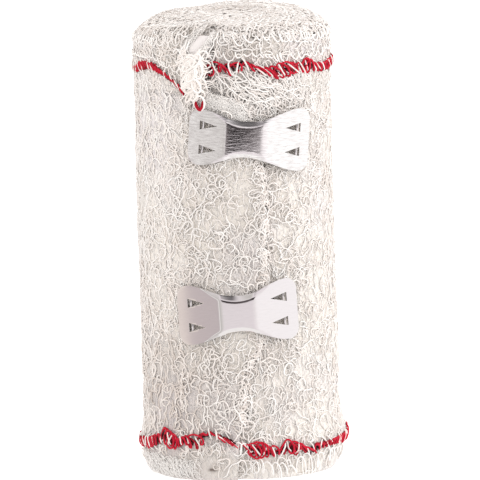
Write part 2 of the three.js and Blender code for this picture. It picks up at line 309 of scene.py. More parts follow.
def put_mesh(name, points, faces, uv=None, marks=None, body="root"):
    """A mesh object from points in millimetres and arrays of faces, one array for each number of corners.
    uv holds a pair for each point, and marks holds named numbers from 0 to 1 for each point. The stage rides
    on no body."""
    mesh = bpy.data.meshes.new(name)
    corners = np.concatenate([f.ravel() for f in faces]).astype(np.int32)
    sizes = np.concatenate([np.full(len(f), f.shape[1]) for f in faces])
    mesh.vertices.add(len(points))
    mesh.vertices.foreach_set("co", (points * MM).astype(np.float32).ravel())
    mesh.loops.add(len(corners))
    mesh.loops.foreach_set("vertex_index", corners)
    mesh.polygons.add(len(sizes))
    mesh.polygons.foreach_set("loop_start", (np.cumsum(sizes) - sizes).astype(np.int32))
    mesh.polygons.foreach_set("use_smooth", np.ones(len(sizes), bool))
    if uv is not None:
        put_uv(mesh, uv[corners])
    for mark, values in (marks or {}).items():
        layer = mesh.attributes.new(mark, "FLOAT", "POINT")
        layer.data.foreach_set("value", values.astype(np.float32).ravel())
    mesh.update(calc_edges=True)
    mesh.validate()
    piece = bpy.data.objects.new(name, mesh)
    bpy.context.scene.collection.objects.link(piece)
    if body:
        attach(piece, body)
    return piece


def put_uv(mesh, places):
    """A UV map in millimetres, from a pair for each corner of each face."""
    layer = mesh.uv_layers.new(name="millimetres")
    layer.uv.foreach_set("vector", places.astype(np.float32).ravel())


def slab_faces(across, along):
    """Faces of a closed slab: an outer grid of points, then an inner one, and a rim round both. The outer
    face looks along the way along times the way across."""
    grid = np.arange(across * along).reshape(across, along)
    a, b, c, d = grid[:-1, :-1], grid[:-1, 1:], grid[1:, 1:], grid[1:, :-1]
    outer = np.stack([a, b, c, d], -1).reshape(-1, 4)
    inner = outer[:, ::-1] + grid.size
    loop = np.concatenate([grid[0, :-1], grid[:-1, -1], grid[-1, :0:-1], grid[:0:-1, 0]])
    after = np.roll(loop, -1)
    rim = np.stack([loop, loop + grid.size, after + grid.size, after], -1)
    return [np.concatenate([outer, inner, rim])]


def tubes(paths, outward, radius, sides):
    """Closed tubes along paths, an array of yarns by steps by 3. Each ring is a regular polygon square to
    the path. Gives points, faces, and for each point its share round and its yarn's number."""
    yarns, steps = paths.shape[:2]
    tangent = np.gradient(paths, axis=1)
    tangent /= np.linalg.norm(tangent, axis=-1, keepdims=True)
    side = np.cross(tangent, outward)
    side /= np.linalg.norm(side, axis=-1, keepdims=True)
    up = np.cross(side, tangent)
    turn = 2 * np.pi * np.arange(sides)[:, None] / sides
    spoke = np.cos(turn) * side[:, :, None] + np.sin(turn) * up[:, :, None]
    points = paths[:, :, None] + radius[..., None, None] * spoke
    grid = np.arange(yarns * steps * sides).reshape(yarns, steps, sides)
    after = np.roll(grid, -1, axis=2)
    walls = np.stack([grid[:, :-1], grid[:, 1:], after[:, 1:], after[:, :-1]], -1).reshape(-1, 4)
    caps = np.concatenate([grid[:, 0], grid[:, -1, ::-1]])
    length = np.cumsum(np.linalg.norm(np.diff(paths, axis=1, prepend=paths[:, :1]), axis=-1), axis=1)
    uv = np.stack(np.broadcast_arrays(np.arange(sides) / sides, length[:, :, None]), -1)
    number = np.repeat(np.arange(yarns), steps * sides)
    return points.reshape(-1, 3), [walls, caps], uv.reshape(-1, 2), number


def random_shade(random, count):
    """Shades of yarns, from 0 for dark to 1 for light: none is much darker than the middle."""
    darkest = 0.45
    return darkest + (1 - darkest) * random.random(count)


def put_yarns(name, paths, outward, radius, sides, random, material, shade=None):
    """One mesh of many closed yarns, each with a shade of its own."""
    points, faces, uv, number = tubes(paths, outward, radius, sides)
    shade = random_shade(random, len(paths)) if shade is None else shade
    piece = put_mesh(name, points, faces, uv, dict(shade=shade[number]))
    piece.data.materials.append(material)
    return piece


# Colours of the finishes
# The crepe's hollow colour darkens the weave's hollows: painted shade between the yarns
CREPE = dict(
    shaded_hollow="#E8E3DB", slope="#F1ECE6", crest="#F9F5F0",
    cool="#E4DFE3", smooth="#F0ECEA", painted_dim_shade="#948780", gap_shade_colour="#5E5048",
)
WHITE_YARN = ("#D2C6BC", "#F3ECE6", "#FFFDFA")
RED_YARN = ("#38040A", "#9C0B20", "#DC1B3B")
ALUMINIUM = dict(line="#DAD7D6", bright="#FFFEFD", plain="#E4E2E1")
WAVE_NODE = 20  # a wave texture at scale 1 repeats every 2 pi / 20


def rgb(code):
    """Linear colour of an sRGB hex value."""
    part = np.array([int(code[i : i + 2], 16) for i in (1, 3, 5)]) / 255
    linear = np.where(part <= 0.04045, part / 12.92, ((part + 0.055) / 1.055) ** 2.4)
    return (*linear, 1.0)


def add(tree, kind, links=(), inputs=(), stops=(), **settings):
    """A node with its settings, its inputs' values and links by name or number, and a ramp's stops."""
    made = tree.nodes.new(kind)
    for name, value in settings.items():
        setattr(made, name, value)
    for name, value in dict(inputs).items():
        made.inputs[name].default_value = value
    for name, socket in dict(links).items():
        tree.links.new(socket, made.inputs[name])
    for _ in stops[2:]:
        made.color_ramp.elements.new(1)
    for index, (place, code) in enumerate(stops):
        made.color_ramp.elements[index].position = place
        made.color_ramp.elements[index].color = rgb(code)
    return made


def new_material(name):
    """A material with no nodes yet, and its node tree."""
    made = bpy.data.materials.new(name)
    made.use_nodes = True
    made.node_tree.nodes.clear()
    return made, made.node_tree


def crepe_base_material():
    """Woven cotton crepe, bleached: matt and cream, with kinked yarns that run up the cloth. The gaps
    between them are a little darker, a painted shade; deep gaps get a painted brown shade, dim places a
    painted shade, and the turned selvage is smooth and pale."""
    made, tree = new_material("crepe_base")
    place = add(tree, "ShaderNodeUVMap", uv_map="millimetres").outputs[0]
    painted_gap_shade, plain, painted_dim_shade = (
        add(tree, "ShaderNodeAttribute", attribute_name=mark).outputs["Fac"]
        for mark in ("painted_gap_shade", "plain", "painted_dim_shade")
    )
    rib_pitch = 0.62
    bands = 2 * np.pi / (WAVE_NODE * rib_pitch)
    up_the_cloth = {"Scale": bands, "Distortion": 9.0, "Detail": 1.0, "Detail Scale": 1.3}
    aslant = {
        "Scale": bands * 0.7, "Distortion": 14.0, "Detail": 1.0, "Detail Scale": 1.9, "Phase Offset": 2.0,
    }
    waves = [
        add(tree, "ShaderNodeTexWave", links={"Vector": place}, inputs=wave, bands_direction=direction)
        for wave, direction in ((up_the_cloth, "X"), (aslant, "DIAGONAL"))
    ]
    crossed = {number: wave.outputs["Fac"] for number, wave in enumerate(waves)}
    yarns = add(tree, "ShaderNodeMath", links=crossed, operation="MULTIPLY").outputs[0]
    # The weave's hollows take the darker colours: painted shade between the yarns
    stops = [(0.0, CREPE["shaded_hollow"]), (0.3, CREPE["slope"]), (0.8, CREPE["crest"])]
    colour = add(tree, "ShaderNodeValToRGB", links={"Fac": yarns}, stops=stops).outputs[0]
    patch = 18.0
    patches = {"Scale": 1 / patch, "Detail": 1.0}
    cloud = add(tree, "ShaderNodeTexNoise", links={"Vector": place}, inputs=patches).outputs["Fac"]
    cooled = {"From Min": 0.45, "From Max": 0.65, "To Max": 0.6}
    cooler = add(tree, "ShaderNodeMapRange", links={"Value": cloud}, inputs=cooled).outputs[0]
    # The dim mark and the gap mark mix in painted shade: dim places, and brown in deep gaps
    for share, other in ((cooler, "cool"), (plain, "smooth"), (painted_dim_shade, "painted_dim_shade"), (painted_gap_shade, "gap_shade_colour")):
        tint = {7: rgb(CREPE[other])}
        mix = add(tree, "ShaderNodeMix", links={0: share, 6: colour}, inputs=tint, data_type="RGBA")
        colour = mix.outputs[2]
    rough = add(tree, "ShaderNodeMath", links={1: plain}, inputs={0: 1.0}, operation="SUBTRACT").outputs[0]
    weave = {"Height": yarns, "Strength": rough}
    bump = add(tree, "ShaderNodeBump", links=weave, inputs={"Distance": 0.22 * MM})
    shader = add(
        tree,
        "ShaderNodeBsdfPrincipled",
        links={"Base Color": colour, "Normal": bump.outputs[0]},
        inputs={"Roughness": 0.95, "Sheen Weight": 0.7, "Specular IOR Level": 0.1},
    )
    add(tree, "ShaderNodeOutputMaterial", links={"Surface": shader.outputs[0]})
    return made


def yarn_material(name, colours, twist, mottled, sheen):
    """Overtwisted cotton yarn: matt, with the slant of its twist, each yarn with its own shade between the
    colours, and a share of unevenness in the dye along it."""
    made, tree = new_material(name)
    place = add(tree, "ShaderNodeUVMap", uv_map="millimetres").outputs[0]
    shade = add(tree, "ShaderNodeAttribute", attribute_name="shade").outputs["Fac"]
    patch = 1.25
    patches = {"Scale": 1 / patch, "Detail": 2.0}
    cloud = add(tree, "ShaderNodeTexNoise", links={"Vector": place}, inputs=patches).outputs["Fac"]
    dye = {0: cloud, 2: shade}
    uneven = add(tree, "ShaderNodeMath", links=dye, inputs={1: mottled}, operation="MULTIPLY_ADD").outputs[0]
    level = add(
        tree, "ShaderNodeMath", links={0: uneven}, inputs={1: mottled / 2}, operation="SUBTRACT"
    ).outputs[0]
    stops = list(zip((0.0, 0.45, 1.0), colours))
    colour = add(tree, "ShaderNodeValToRGB", links={"Fac": level}, stops=stops)
    slant = add(tree, "ShaderNodeMapping", links={"Vector": place}, inputs={"Scale": (1.0, 1 / twist, 1.0)})
    ply = add(
        tree,
        "ShaderNodeTexWave",
        links={"Vector": slant.outputs[0]},
        inputs={"Scale": 2 * np.pi / WAVE_NODE, "Distortion": 0.0},
        bands_direction="DIAGONAL",
    ).outputs["Fac"]
    depth = {"Strength": 0.5, "Distance": 0.04 * MM}
    bump = add(tree, "ShaderNodeBump", links={"Height": ply}, inputs=depth)
    shader = add(
        tree,
        "ShaderNodeBsdfPrincipled",
        links={"Base Color": colour.outputs[0], "Normal": bump.outputs[0]},
        inputs={"Roughness": 0.9, "Sheen Weight": sheen, "Specular IOR Level": 0.2},
    )
    add(tree, "ShaderNodeOutputMaterial", links={"Surface": shader.outputs[0]})
    return made


def clip_material(name, brushed):
    """Rolled aluminium sheet, brushed along the clip: bright and mirror-like along the brushing, with fine
    lines that blur what it mirrors across them. The more it is brushed, the stronger the lines."""
    made, tree = new_material(name)
    place = add(tree, "ShaderNodeUVMap", uv_map="millimetres").outputs[0]
    line_length, lines_per_mm = 1.25, 4.4
    streaks = {"Scale": (1 / line_length, lines_per_mm, 1.0)}
    along = add(tree, "ShaderNodeMapping", links={"Vector": place}, inputs=streaks).outputs[0]
    lines = add(
        tree, "ShaderNodeTexNoise", links={"Vector": along}, inputs={"Scale": 1.0, "Detail": 4.0}
    ).outputs["Fac"]
    faint, strong = 0.3, 0.7
    stops = [(faint, ALUMINIUM["line"]), (strong, ALUMINIUM["bright"])]
    tone = add(tree, "ShaderNodeValToRGB", links={"Fac": lines}, stops=stops).outputs[0]
    plain = {0: brushed, 6: rgb(ALUMINIUM["plain"])}
    even = add(tree, "ShaderNodeMix", links={7: tone}, inputs=plain, data_type="RGBA").outputs[2]
    blur = {
        "From Min": faint,
        "From Max": strong,
        "To Min": 0.08 + 0.12 * brushed,
        "To Max": 0.06 + 0.06 * brushed,
    }
    dull = add(tree, "ShaderNodeMapRange", links={"Value": lines}, inputs=blur).outputs[0]
    depth = {"Strength": 0.9 * brushed, "Distance": 0.03 * MM}
    bump = add(tree, "ShaderNodeBump", links={"Height": lines}, inputs=depth).outputs[0]
    finish = {"Base Color": even, "Roughness": dull, "Normal": bump}
    shader = add(tree, "ShaderNodeBsdfPrincipled", links=finish, inputs={"Metallic": 1.0})
    add(tree, "ShaderNodeOutputMaterial", links={"Surface": shader.outputs[0]})
    return made


# How the cloth bends over the ends: the outermost lean in radians, its gain for each millimetre of cloth
# that lies over it, and the steepest lean. At the bottom the last lap leans less than the laps beneath it.
BENT_OVER_TOP = dict(first=0.36, gain=0.7, steepest=1.46, last_lap=0.0)
BENT_OVER_BOTTOM = dict(first=1.35, gain=0.5, steepest=1.5, last_lap=0.72)
LAST_LAP = (500, 560)
STANDING = (1.9, 2.9)  # from laps that still lean to laps that stand, by how far inside they lie
END_LEVELS = dict(top=2.3, bottom=1.7)  # how far the levels run on over the ends


def laps_above(wind, edge):
    """How many laps lie over the cloth at a winding angle. It changes over 18 degrees just inside the
    edge."""
    turns = (edge - wind) / 360
    whole = np.floor(turns)
    return np.maximum(whole - 1 + smoothstep(turns - whole, 0, 18 / 360), 0)


def end_profile(wind, share, inward, top):
    """Radius and height of the cloth where it bends over an end, at a share of the way to its selvage.
    Outer laps bend round the shoulder's middle, and each shows where the lap above it ends. Inner laps
    stand."""
    shoulder = TOP_SHOULDER if top else BOTTOM_SHOULDER
    edge = END_EDGE[-1 if top else 0]["wind"]
    bent = BENT_OVER_TOP if top else BENT_OVER_BOTTOM
    radius = winding_radius(wind)
    depth = winding_radius(wind + 360 * laps_above(wind, edge)) - radius
    ragged = 0.04 * np.sin(wind * DEG * 7.3) + 0.03 * np.sin(wind * DEG * 17.1 + 1)
    first = bent["first"] - bent["last_lap"] * smoothstep(wind, *LAST_LAP)
    lean = np.minimum(first + bent["gain"] * depth + ragged, bent["steepest"]) * share
    beneath = np.minimum(first + bent["gain"] * np.maximum(depth - PLY, 0), bent["steepest"])
    covered = beneath * np.minimum(depth, 1)
    centre = shoulder_centre(wind, shoulder)
    puff = depth * 0.9 * smoothstep(lean, covered - 0.1, covered + 0.2)
    level = WIDTH - TOP_SHOULDER + lean * shoulder if top else 0.0 * lean
    reach = np.maximum(radius - centre + puff, 0.3) - BASE_UNDER - inward + relief(wind, level)
    dome = DOME * (1 - (radius / FIRST_RADIUS) ** 2) if top else -0.15
    straight_out = radius - BASE_UNDER - inward - 0.25 * share**2
    straight_up = (shoulder + dome + 3 * ragged - 0.25) * share
    stands = smoothstep(depth, *STANDING)
    out = centre + reach * np.cos(lean)
    out = out + (straight_out - out) * stands
    up = reach * np.sin(lean)
    up = up + (straight_up - up) * stands
    return out, (WIDTH - shoulder + up) if top else np.maximum(shoulder - up, FLOOR_GAP)


def wind_at(wind, level):
    """The columns past the root are spread out so that the last one lies on the free edge at each level."""
    last = ROOT + 360
    share = np.maximum(wind - last, 0) / (wind[-1] - last)
    return np.minimum(wind, last) + share * (edge_wind(level) - last)


def strip_face(wind, across_rows, inward):
    """One face of the strip: bottom end, wall and top end, as points, winding angles and levels."""
    faces = []
    for row in across_rows:
        at, top = row["at"], row["part"] == "top"
        if row["part"] == "wall":
            level = np.full_like(wind, at)
        elif top:
            level = np.full_like(wind, WIDTH - TOP_SHOULDER + END_LEVELS["top"] * at)
        else:
            level = np.full_like(wind, BOTTOM_SHOULDER - END_LEVELS["bottom"] * at)
        lap = wind_at(wind, level)
        if row["part"] == "wall":
            radius, z = winding_radius(lap) - BASE_UNDER - inward + relief(lap, level), level
        else:
            radius, z = end_profile(lap, at, inward, top)
        faces.append((settled(radius, lap, z), lap, level))
    return [np.stack(part) for part in zip(*faces)]


# Painted shade in the gap beside the free edge where the fold stands off it, and in the gap under each red
# yarn
EDGE_GAP = dict(share=0.6, past=0.5, wide=0.7, level=66.6, tall=2.9)
RED_GAP = dict(share=0.4, above=0.1, tall=0.9)
SPOT_SHARE = 1.5


def gap_shade(wind, level):
    """How much painted shade the cloth gets for lying in a deep gap: beside the free edge, under the red
    yarn, and in the deep spots. Each is exp of minus a power of the distance."""
    beyond = (wind + 360 - edge_wind(level)) * winding_radius(wind) * DEG
    past, up = (beyond - EDGE_GAP["past"]) / EDGE_GAP["wide"], (level - EDGE_GAP["level"]) / EDGE_GAP["tall"]
    shade = EDGE_GAP["share"] * np.exp(-(past**2) - up**4)
    outer = wind > OUTER_LAP
    for table in (RED_TOP, RED_BOTTOM):
        line = np.interp(wind, column(table, "wind"), column(table, "level"))
        there = outer & (wind < table[-1]["wind"])
        off = (level - line - RED_GAP["above"]) / RED_GAP["tall"]
        shade = shade + RED_GAP["share"] * there * np.exp(-(off**4))
    spots = sum(bell(spot, wind, level, 2) for spot in SHADED_SPOTS)
    return np.clip(shade + SPOT_SHARE * spots, 0, 1)


def plainness(wind, level):
    """How smooth the cloth is: on the turned piece, partly on the puffed edge and on the foot at the front
    left."""
    strips = [strip["plain"] * on_strip(strip, wind, level, 0.4, 1.2) for strip in STRIPS]
    return np.maximum.reduce([*strips, SMOOTH_FOOT["plain"] * bell(SMOOTH_FOOT, wind, level, 4)])


def bare(wind, level):
    """Where no pile stands: on the smooth strips' middles and on the smooth foot."""
    middle = 0.6
    strips = np.minimum.reduce([off_strip(strip, wind, level) for strip in STRIPS])
    return (strips < middle) | (bell(SMOOTH_FOOT, wind, level, 4) > middle)


def pile_height(wind):
    """How high the pile stands at an azimuth, as a share."""
    return round_roll(PILE_HEIGHT, wind, "share")


def painted_dim_share(wind, level):
    """How dim the cloth is painted, a painted shade: the sum of the dim places' bells, 1 at most."""
    return np.clip(sum(place["share"] * bell(place, wind, level, 2) for place in PAINTED_DIM_PLACES), 0, 1)


def strip_winds():
    """Winding angles of the strip's columns: closer together towards the last laps in the core, even over
    the lap before the last, and closer towards the free edge."""
    crowding, end = 0.35, 95
    share = np.linspace(0, 1, 270)
    core = ROOT - 360 * CORE_TURNS * (1 - ((1 + crowding) * share - crowding * share**2))
    lap = np.linspace(ROOT, ROOT + 360, 200)[1:]
    last = np.sin(np.linspace(0, np.pi / 2, 96))[1:] * end + ROOT + 360
    return np.concatenate([core, lap, last])


def strip_rows():
    """Rows across the strip: round the bottom shoulder, up the wall, more closely near its ends, and round
    the top shoulder."""
    low, high = 9, 57
    stretches = [
        np.linspace(BOTTOM_SHOULDER, low, 9),
        np.linspace(low, high, 22),
        np.linspace(high, WIDTH - TOP_SHOULDER, 22),
    ]
    levels = np.unique(np.concatenate(stretches))[1:-1]
    bottom = [dict(part="bottom", at=share) for share in np.linspace(1, 0, 9)]
    wall = [dict(part="wall", at=level) for level in levels]
    return bottom + wall + [dict(part="top", at=share) for share in np.linspace(0, 1, 12)]


def wound_cloth(material):
    """The whole strip as one closed slab, wound from the core to the free edge."""
    wind, across_rows = strip_winds(), strip_rows()
    thick = np.where(wind < ROOT - 180, 0.45, 0.72)
    outer, laps, places = strip_face(wind, across_rows, 0.0)
    inside = strip_face(wind, across_rows, thick)[0]
    points = np.concatenate([outer.reshape(-1, 3), inside.reshape(-1, 3)])
    run = np.cumsum(winding_radius(wind) * np.gradient(wind) * DEG)
    across = np.cumsum(np.linalg.norm(np.diff(outer[:, -1], axis=0, prepend=outer[:1, -1]), axis=-1))
    uv = np.stack(np.meshgrid(run, across), -1).reshape(-1, 2)
    high_pile = smoothstep(pile_height(laps), 0.5, 1.2)
    marks = dict(
        # Painted brown shade in deep gaps: beside the free edge, under the red yarn and in the deep spots
        painted_gap_shade=gap_shade(laps, places),
        plain=plainness(laps, places),
        # Painted shade: the dim places, and the base darker between the yarns where the pile stands high
        painted_dim_shade=0.5 * painted_dim_share(laps, places) + 0.05 * high_pile,
    )
    marks = {name: np.concatenate([values.ravel()] * 2) for name, values in marks.items()}
    faces = slab_faces(len(across_rows), len(wind))
    piece = put_mesh("wound_cloth", points, faces, np.concatenate([uv, uv]), marks)
    piece.data.materials.append(material)
    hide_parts("bandage_roll", "loose_end")
    return piece


def squiggle(random, slant, steps, look):
    """Flat curves of kinked yarn, as millimetres sideways and upwards from its middle. The heading along a
    yarn is its slant, plus an even or growing turning that makes curls and hooks, plus a wave that makes
    kinks. The steps along the heading add up to the curve."""
    one_each = (len(slant), 1)
    share = np.linspace(0, 1, steps)
    length = random.uniform(*look["length"], one_each)
    curled = random.random(one_each) < look["curls"]
    turning = random.choice([-1, 1], one_each) * random.uniform(*look["turning"], one_each)
    hooked = random.random(one_each) < 0.5
    grown = np.where(hooked, share**2, share - 0.5)
    wave_length = random.uniform(*KINKS["length"], one_each)
    kink = random.uniform(*KINKS["strength"], one_each) * look["kink"]
    wave = kink * np.sin(2 * np.pi * (length / wave_length * share + random.random(one_each)))
    heading = slant + np.where(curled, turning, 0) * grown + wave
    x = np.cumsum(np.sin(heading), axis=1) * length / steps
    y = np.cumsum(np.cos(heading), axis=1) * length / steps
    middle = steps // 2
    return x - x[:, middle, None], y - y[:, middle, None], 2 * share - 1


def clip_frame(clip):
    """Axes of a clip's seat as rows, along, up and out of the roll, and its origin."""
    out = from_polar(np.array(1.0), clip["wind"], 0.0)
    up = np.array([0.0, 0.0, 1.0])
    along = np.cross(up, out)
    tilt = clip["tilt"] * DEG
    turned = [along * np.cos(tilt) + up * np.sin(tilt), up * np.cos(tilt) - along * np.sin(tilt), out]
    past = (clip["wind"] - ROOT) % 360
    radius = FIRST_RADIUS + PLY * past / 360 + PLY + SEAT["lift"]
    return np.array(turned), from_polar(np.array(radius), clip["wind"], clip["level"])


def plate_at(clip, s):
    """Place along a clip's plate at a distance s from its middle: distance along, distance out, and slope.
    The middle facet bows a little, each bend is an arc, and each wing runs on with a slight curl."""
    bend_radius = CLIP["bend_radius"]
    right = s > 0
    bend = np.where(right, clip["bend_right"], clip["bend_left"]) * DEG
    arc = bend_radius * bend
    flat = clip["facet"] / 2 - arc / 2
    turned = np.clip(np.abs(s) - flat, 0, arc) / bend_radius
    beyond = np.maximum(np.abs(s) - flat - arc, 0)
    x = np.minimum(np.abs(s), flat) + bend_radius * np.sin(turned) + beyond * np.cos(bend)
    drop = bend_radius * (1 - np.cos(turned)) + beyond * np.sin(bend)
    curl = clip["curl"] * DEG * beyond / clip["left"]
    share = np.minimum(np.abs(s) / flat, 1)
    bow = clip["bow"] * DEG * share * (1 - turned / bend)
    drop = drop + curl * beyond / 2 + clip["bow"] * DEG * flat * share**2 / 2
    sign = np.where(right, 1, -1)
    return sign * x, -drop, -sign * (turned + bow + curl)


def clip_reach(clip, s):
    """How far a clip reaches from its middle, to the side of s."""
    return clip["facet"] / 2 + np.where(s > 0, clip["right"], clip["left"])


def half_height(clip, s):
    """Half the height of the clip's outline: it grows from the waist to the ends as a squared sine of the
    way to the power 1.2, and the corners are quarter circles."""
    to_corner = clip_reach(clip, s) - CLIP["corner"]
    end = np.where(s > 0, clip["end_right"], clip["end_left"])
    grown = np.sin(np.pi / 2 * np.minimum(np.abs(s) / to_corner, 1) ** 1.2) ** 2
    outline = CLIP["waist"] + (end - CLIP["waist"]) * grown
    into = np.clip(np.abs(s) - to_corner, 0, CLIP["corner"])
    return outline - CLIP["corner"] + np.sqrt(CLIP["corner"] ** 2 - into**2)


def clear_of_clips(paths, room):
    """Whether each yarn stays out of the clips: none of its points lies inside a clip's outline, with some
    room round it, and higher than the plate's underside less that room."""
    under_plate, far_side = 0.25, -12
    free = np.ones(len(paths), bool)
    for clip in CLIPS:
        axes, origin = clip_frame(clip)
        x, y, out = np.moveaxis((paths - origin) @ axes.T, -1, 0)
        s = np.linspace(-clip_reach(clip, -1), clip_reach(clip, 1), 200)
        plate_x, plate_out, _ = plate_at(clip, s)
        inside = (x > plate_x[0] - room) & (x < plate_x[-1] + room) & (out > far_side)
        inside &= np.abs(y) < np.interp(x, plate_x, half_height(clip, s)) + room
        free &= ~(inside & (out > np.interp(x, plate_x, plate_out) - under_plate)).any(axis=1)
    return free


def taper(steps, thin):
    """Share of the full radius along a yarn: full in the middle, thin at both ends."""
    share = np.linspace(-1, 1, steps)
    return thin + (1 - thin) * np.sqrt(np.maximum(1 - share**4, 0))


def arched(share, crown, sunk):
    """Height of a yarn along its length: up by its crown in the middle, down into the cloth at both ends."""
    return crown * (1 - share**4) - sunk * share**8


def tilted(random, share, crown):
    """Height of an arched yarn that rises a little more to one end than to the other."""
    tilt = random.uniform(-0.08, 0.08, (len(crown), 1))
    return arched(share, crown, 0.2) + tilt * share


def fall_to_lap(beyond, before, after, left=0.15):
    """How far a yarn falls past the free edge, to the lap beneath: one ply, less what is left of it."""
    return (PLY - left) * smoothstep(beyond, before, after)


def on_red(winds, levels):
    """Whether a point is within the red yarns' loops, on the stretch of the wall where they run."""
    near = np.zeros(winds.shape, bool)
    for table in (RED_TOP, RED_BOTTOM):
        places = column(table, "wind")
        line, half = (np.interp(winds, places, column(table, name)) for name in ("level", "half"))
        near |= np.abs(levels - line) < 0.65 * half
    return near


def laid_on_wall(winds, levels, lift):
    """Paths of yarns on the outermost cloth, and which yarns to keep. Past the free edge a yarn falls to the
    lap beneath. None is kept in a clip, on a smooth strip, past an end, or over the red yarn for two fifths
    of its way or more."""
    beyond = past_edge(winds, levels)
    paths = on_wall(winds, levels, lift - BASE_UNDER + 0.1 - fall_to_lap(beyond, -0.2, 1.8))
    low, high, lowest = 0.5, WIDTH - TOP_SHOULDER + 3.6, 0.15
    one_turn_back = winds - edge_wind(levels) > -367
    keep = ((beyond < 2.4) & one_turn_back & (levels > low) & (levels < high)).all(axis=1)
    keep &= ~bare(winds, levels).any(axis=1) & (paths[..., 2] > lowest).all(axis=1)
    keep &= clear_of_clips(paths, 0.12)
    keep &= on_red(winds, levels).mean(axis=1) < 0.4
    return paths, keep


# Where the pile is combed: the mean slant there, positive to the right as it goes up
COMBED = rows(
    "wind level wide tall slant",
    (276, 64.0, 24, 3.4, -0.95),
    (300, 62.0, 18, 5.0, -0.4),
    (585, 30.0, 40, 30.0, 0.15),
)
WHOLE = (OUTER_LAP, ROOT + 457, 0.8, WIDTH - 1.5)
PILE = [
    dict(name="ribs", count=1450, steps=9, length=(3, 6), spread=0.2, curls=0.15, turning=(3, 5), kink=0.6,
         ribbed=0.8, crown=(0.0, 0.12), thick=1.1, area=WHOLE),
    dict(name="kinks", count=1800, steps=10, length=(2.5, 5), spread=0.6, curls=0.6, turning=(3, 6),
         kink=0.7, ribbed=0.4, crown=(0.05, 0.25), thick=1.1, area=WHOLE),
    dict(name="curls", count=1250, steps=14, length=(3, 6.5), spread=0.9, curls=0.8, turning=(3, 7),
         kink=0.6, ribbed=0.5, crown=(0.08, 0.3), thick=1.1, area=WHOLE),
    dict(name="high_curls", count=1150, steps=14, length=(3.5, 7), spread=1.0, curls=0.8, turning=(3, 7.5),
         kink=0.5, ribbed=0.4, crown=(0.2, 0.5), thick=1.15, area=WHOLE),
    # The seam's tone makes its yarns darker: painted shade along the step at the free edge
    dict(name="seam", count=250, steps=11, length=(2.5, 5), spread=1.2, curls=0.6, turning=(3, 6), kink=0.6,
         ribbed=0.0, crown=(0.0, 0.2), thick=1.05, area=(-1.5, 4.0, 7.5, 60.0), at_edge=True, tone=-0.25),
    dict(name="rim", count=420, steps=11, length=(2, 4), spread=1.5, curls=0.7, turning=(3, 6), kink=0.6,
         ribbed=0.0, crown=(0.1, 0.35), thick=1.1, area=(ROOT + 62, ROOT + 425, 72.8, 75.0)),
    dict(name="combed", count=190, steps=13, length=(3.5, 7.5), spread=0.6, curls=0.5, turning=(2, 5),
         kink=0.4, ribbed=0.0, crown=(0.2, 0.55), thick=1.25, area=(ROOT + 61, ROOT + 130, 59.0, 67.0)),
]
PILE_SEED = 100
RIB_PITCH = 0.65
SPARE_YARNS = 1.5  # more are laid than are kept
SUNK_WHERE_LOW = 0.14


def combing(wind, level):
    """Slant of the combed places, each a bell about its middle."""
    return sum(c["slant"] * bell(c, wind, level, 2) for c in COMBED)


def wall_pile(random, look):
    """Kinked yarns over a part of the outermost lap, which is counted from the free edge for those at it. A
    ribbed share starts on the ribs of the weave, and they stand as high as the pile does round the roll.
    Gives paths, outward directions and shades."""
    tries = int(look["count"] * SPARE_YARNS)
    one_each = (tries, 1)
    wind_low, wind_high, low, high = look["area"]
    level = random.uniform(low, high, one_each)
    wind = random.uniform(wind_low, wind_high, one_each)
    wind = wind + edge_wind(level) if look.get("at_edge") else wind
    pitch = wind_of(RIB_PITCH, wind)
    on_rib = np.round(wind / pitch) * pitch + random.normal(0, 0.1, one_each) * pitch
    wind = np.where(random.random(one_each) < look["ribbed"], on_rib, wind)
    combed = combing(wind, level)
    loose = look["spread"] * (1 - 0.7 * np.minimum(np.abs(combed), 1))
    wavering = 0.2 * np.sin(wind * DEG * 5 + level / 6)
    slant = combed + wavering + loose * random.normal(0, 1, one_each)
    x, y, share = squiggle(random, slant, look["steps"], look)
    height = pile_height(wind)
    crown = height * random.uniform(*look["crown"], one_each)
    lift = tilted(random, share, crown) - SUNK_WHERE_LOW * (1 - height)
    winds = wind + wind_of(x, wind)
    paths, keep = laid_on_wall(winds, level + y, lift)
    # Pile yarns are darker in the dim places, a painted shade; the seam's tone darkens its yarns, a painted
    # shade too
    shade = random_shade(random, tries) - 0.45 * painted_dim_share(wind, level)[:, 0] + look.get("tone", 0)
    return [part[keep][: look["count"]] for part in (paths, outwards(winds), shade)]


def put_wall_pile(material):
    """The pile in several meshes: ribs that run up the cloth, kinks across them, open curls on top, short
    yarns along the free edge and the rim, and long yarns combed aslant beside the hanging fold."""
    for seed, look in enumerate(PILE, PILE_SEED):
        random = np.random.default_rng(seed)
        paths, outward, shade = wall_pile(random, look)
        thick = look["thick"] * WHITE_RADIUS * random.uniform(*THICKNESS_SPREAD, (len(paths), 1))
        radius = thick * taper(look["steps"], THIN_END)
        piece = put_yarns("pile_" + look["name"], paths, outward, radius, 3, random, material, shade)


BUNDLE = dict(
    left=599.3, narrow=7.5, right=612.8, low=64.0, high=71.3, lowest=62.8, count=150, slant=0.45,
    spread=0.35, length=(3.5, 7.5), curls=0.55, turning=(3, 7), kink=0.4, crown=(0.15, 0.6), thick=1.35,
)
